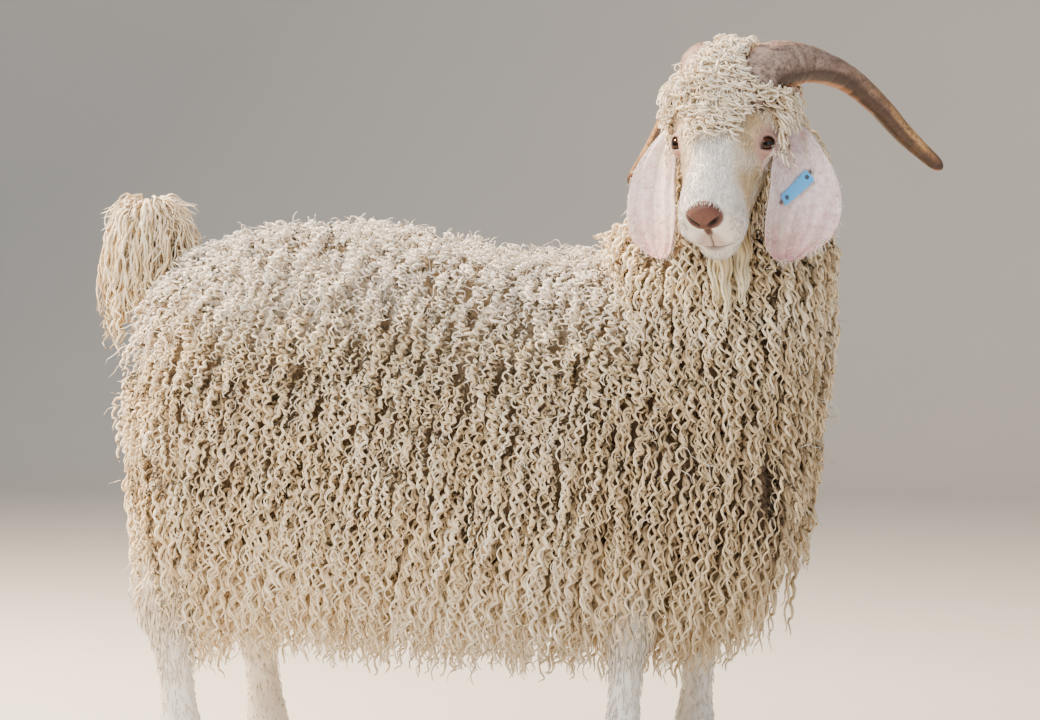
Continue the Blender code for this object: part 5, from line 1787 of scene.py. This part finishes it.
class CoatSettings(bpy.types.PropertyGroup):
    fleece_pitch: length_prop("Pitch", "From one fleece lock to the next", 0.0113)
    fleece_length: length_prop("Length", "Of a lock of the fleece", 0.058)
    fleece_light: colour_prop("Fleece, light", "Outer ends of the locks", "#fff2d8")
    fleece_mid: colour_prop("Fleece, middle", "Body of the locks", "#ecd4aa")
    fleece_deep: colour_prop("Fleece, deep", "Between the locks", "#7d6244")
    topknot_light: colour_prop("Topknot, light", "Outer curls", "#fff2dc")
    topknot_mid: colour_prop("Topknot, middle", "Body of the curls", "#f2d6a4")
    topknot_deep: colour_prop("Topknot, deep", "Between the curls", "#b98648")
    plume_light: colour_prop("Tail, light", "Silky ends", "#fff0cf")
    plume_mid: colour_prop("Tail, middle", "Silky locks", "#ecc888")
    plume_deep: colour_prop("Tail, deep", "At the dock", "#a88658")
    beard_light: colour_prop("Beard, light", "Outer strands", "#fff2d0")
    beard_mid: colour_prop("Beard, middle", "Body of the beard", "#efd8a6")
    beard_deep: colour_prop("Beard, deep", "Inner strands", "#bd9862")
    hair_light: colour_prop("Short hair, light", "Face and legs", "#fffaf2")
    hair_mid: colour_prop("Short hair, middle", "Face and legs", "#efdcb6")
    hair_deep: colour_prop("Short hair, deep", "Face and legs", "#d0ae7c")


class BuildOperator(bpy.types.Operator):
    """Base of the operators below"""

    bl_options = {"REGISTER", "UNDO"}

    def settings(self, context):
        return context.scene.angora_coat


class ANGORA_OT_skin(BuildOperator):
    """Builds the skin with its face and ears, and the short hair on it"""

    bl_idname = "angora.skin"
    bl_label = "Skin and short hair"

    def execute(self, context):
        obj = skin(self.settings(context))
        short_hair(obj, self.settings(context))
        return {"FINISHED"}


class ANGORA_OT_fleece(BuildOperator):
    """Builds the hanging locks of the trunk and the neck"""

    bl_idname = "angora.fleece"
    bl_label = "Fleece"

    def execute(self, context):
        fleece(guide_of(trunk_forms(), 0.008), self.settings(context))
        return {"FINISHED"}


class ANGORA_OT_topknot(BuildOperator):
    """Builds the tight curls of the crown"""

    bl_idname = "angora.topknot"
    bl_label = "Topknot"

    def execute(self, context):
        topknot(self.settings(context))
        return {"FINISHED"}


class ANGORA_OT_silk(BuildOperator):
    """Builds the silky locks of the tail and the beard"""

    bl_idname = "angora.silk"
    bl_label = "Tail and beard"

    def execute(self, context):
        plume(self.settings(context))
        beard(self.settings(context))
        return {"FINISHED"}


class ANGORA_OT_horns(BuildOperator):
    """Builds the two sweeping horns"""

    bl_idname = "angora.horns"
    bl_label = "Horns"

    def execute(self, context):
        for side in SIDES:
            dress(horn(side), material_of("Ram horn", ram_horn), "horn_" + side)
        return {"FINISHED"}


class ANGORA_OT_eyes(BuildOperator):
    """Builds the two eyes"""

    bl_idname = "angora.eyes"
    bl_label = "Eyes"

    def execute(self, context):
        for side in SIDES:
            dress(eye(side), material_of("Goat eye", goat_eye), "eye_" + side)
        return {"FINISHED"}


class ANGORA_OT_hooves(BuildOperator):
    """Builds the four cloven hooves"""

    bl_idname = "angora.hooves"
    bl_label = "Hooves"

    def execute(self, context):
        look = material_of("Hoof horn", plain, "#8f7c64", "#5f4e3c", 0.5, 140.0)
        for side in SIDES:
            for place in ("fore", "hind"):
                obj = dress(hoof(place, side), look, f"hoof_{place}_{side}")
                obj.data.set_sharp_from_angle(angle=math.radians(50))
        return {"FINISHED"}


class ANGORA_OT_tag(BuildOperator):
    """Builds the ear tag and its rivets"""

    bl_idname = "angora.tag"
    bl_label = "Ear tag"

    def execute(self, context):
        strip, rivets = tag()
        plastic = material_of("Tag plastic", plain, "#5cb8f2", "#4aa4e6", 0.38, 60.0)
        dress(strip, plastic, "ear_tag")
        strip.data.set_sharp_from_angle(angle=math.radians(40))
        dress(rivets, material_of("Tag rivet", plain, "#3d4a58", "#3d4a58", 0.35, 90.0))
        return {"FINISHED"}


class ANGORA_OT_stage(BuildOperator):
    """Builds the floor, the lights and the camera"""

    bl_idname = "angora.stage"
    bl_label = "Stage"

    def execute(self, context):
        stage()
        return {"FINISHED"}


OPERATORS = (
    ANGORA_OT_skin,
    ANGORA_OT_fleece,
    ANGORA_OT_topknot,
    ANGORA_OT_silk,
    ANGORA_OT_horns,
    ANGORA_OT_eyes,
    ANGORA_OT_hooves,
    ANGORA_OT_tag,
    ANGORA_OT_stage,
)


class ANGORA_PT_panel(bpy.types.Panel):
    """Sizes, colours and building steps of the ram"""

    bl_label = "Angora Ram"
    bl_space_type = "VIEW_3D"
    bl_region_type = "UI"
    bl_category = "Angora"

    def draw(self, context):
        settings = context.scene.angora_coat
        for key in settings.__annotations__:
            self.layout.prop(settings, key)
        for operator in OPERATORS:
            self.layout.operator(operator.bl_idname)


def register():
    for cls in (CoatSettings, *OPERATORS, ANGORA_PT_panel):
        bpy.utils.register_class(cls)
    bpy.types.Scene.angora_coat = bpy.props.PointerProperty(type=CoatSettings)


def unregister():
    del bpy.types.Scene.angora_coat
    for cls in (ANGORA_PT_panel, *reversed(OPERATORS), CoatSettings):
        bpy.utils.unregister_class(cls)


def main():
    """Builds every piece and the stage."""
    register()
    bpy.ops.angora.skin()
    bpy.ops.angora.fleece()
    bpy.ops.angora.topknot()
    bpy.ops.angora.silk()
    bpy.ops.angora.horns()
    bpy.ops.angora.eyes()
    bpy.ops.angora.hooves()
    bpy.ops.angora.tag()
    bpy.ops.angora.stage()


if __name__ == "__main__":
    main()
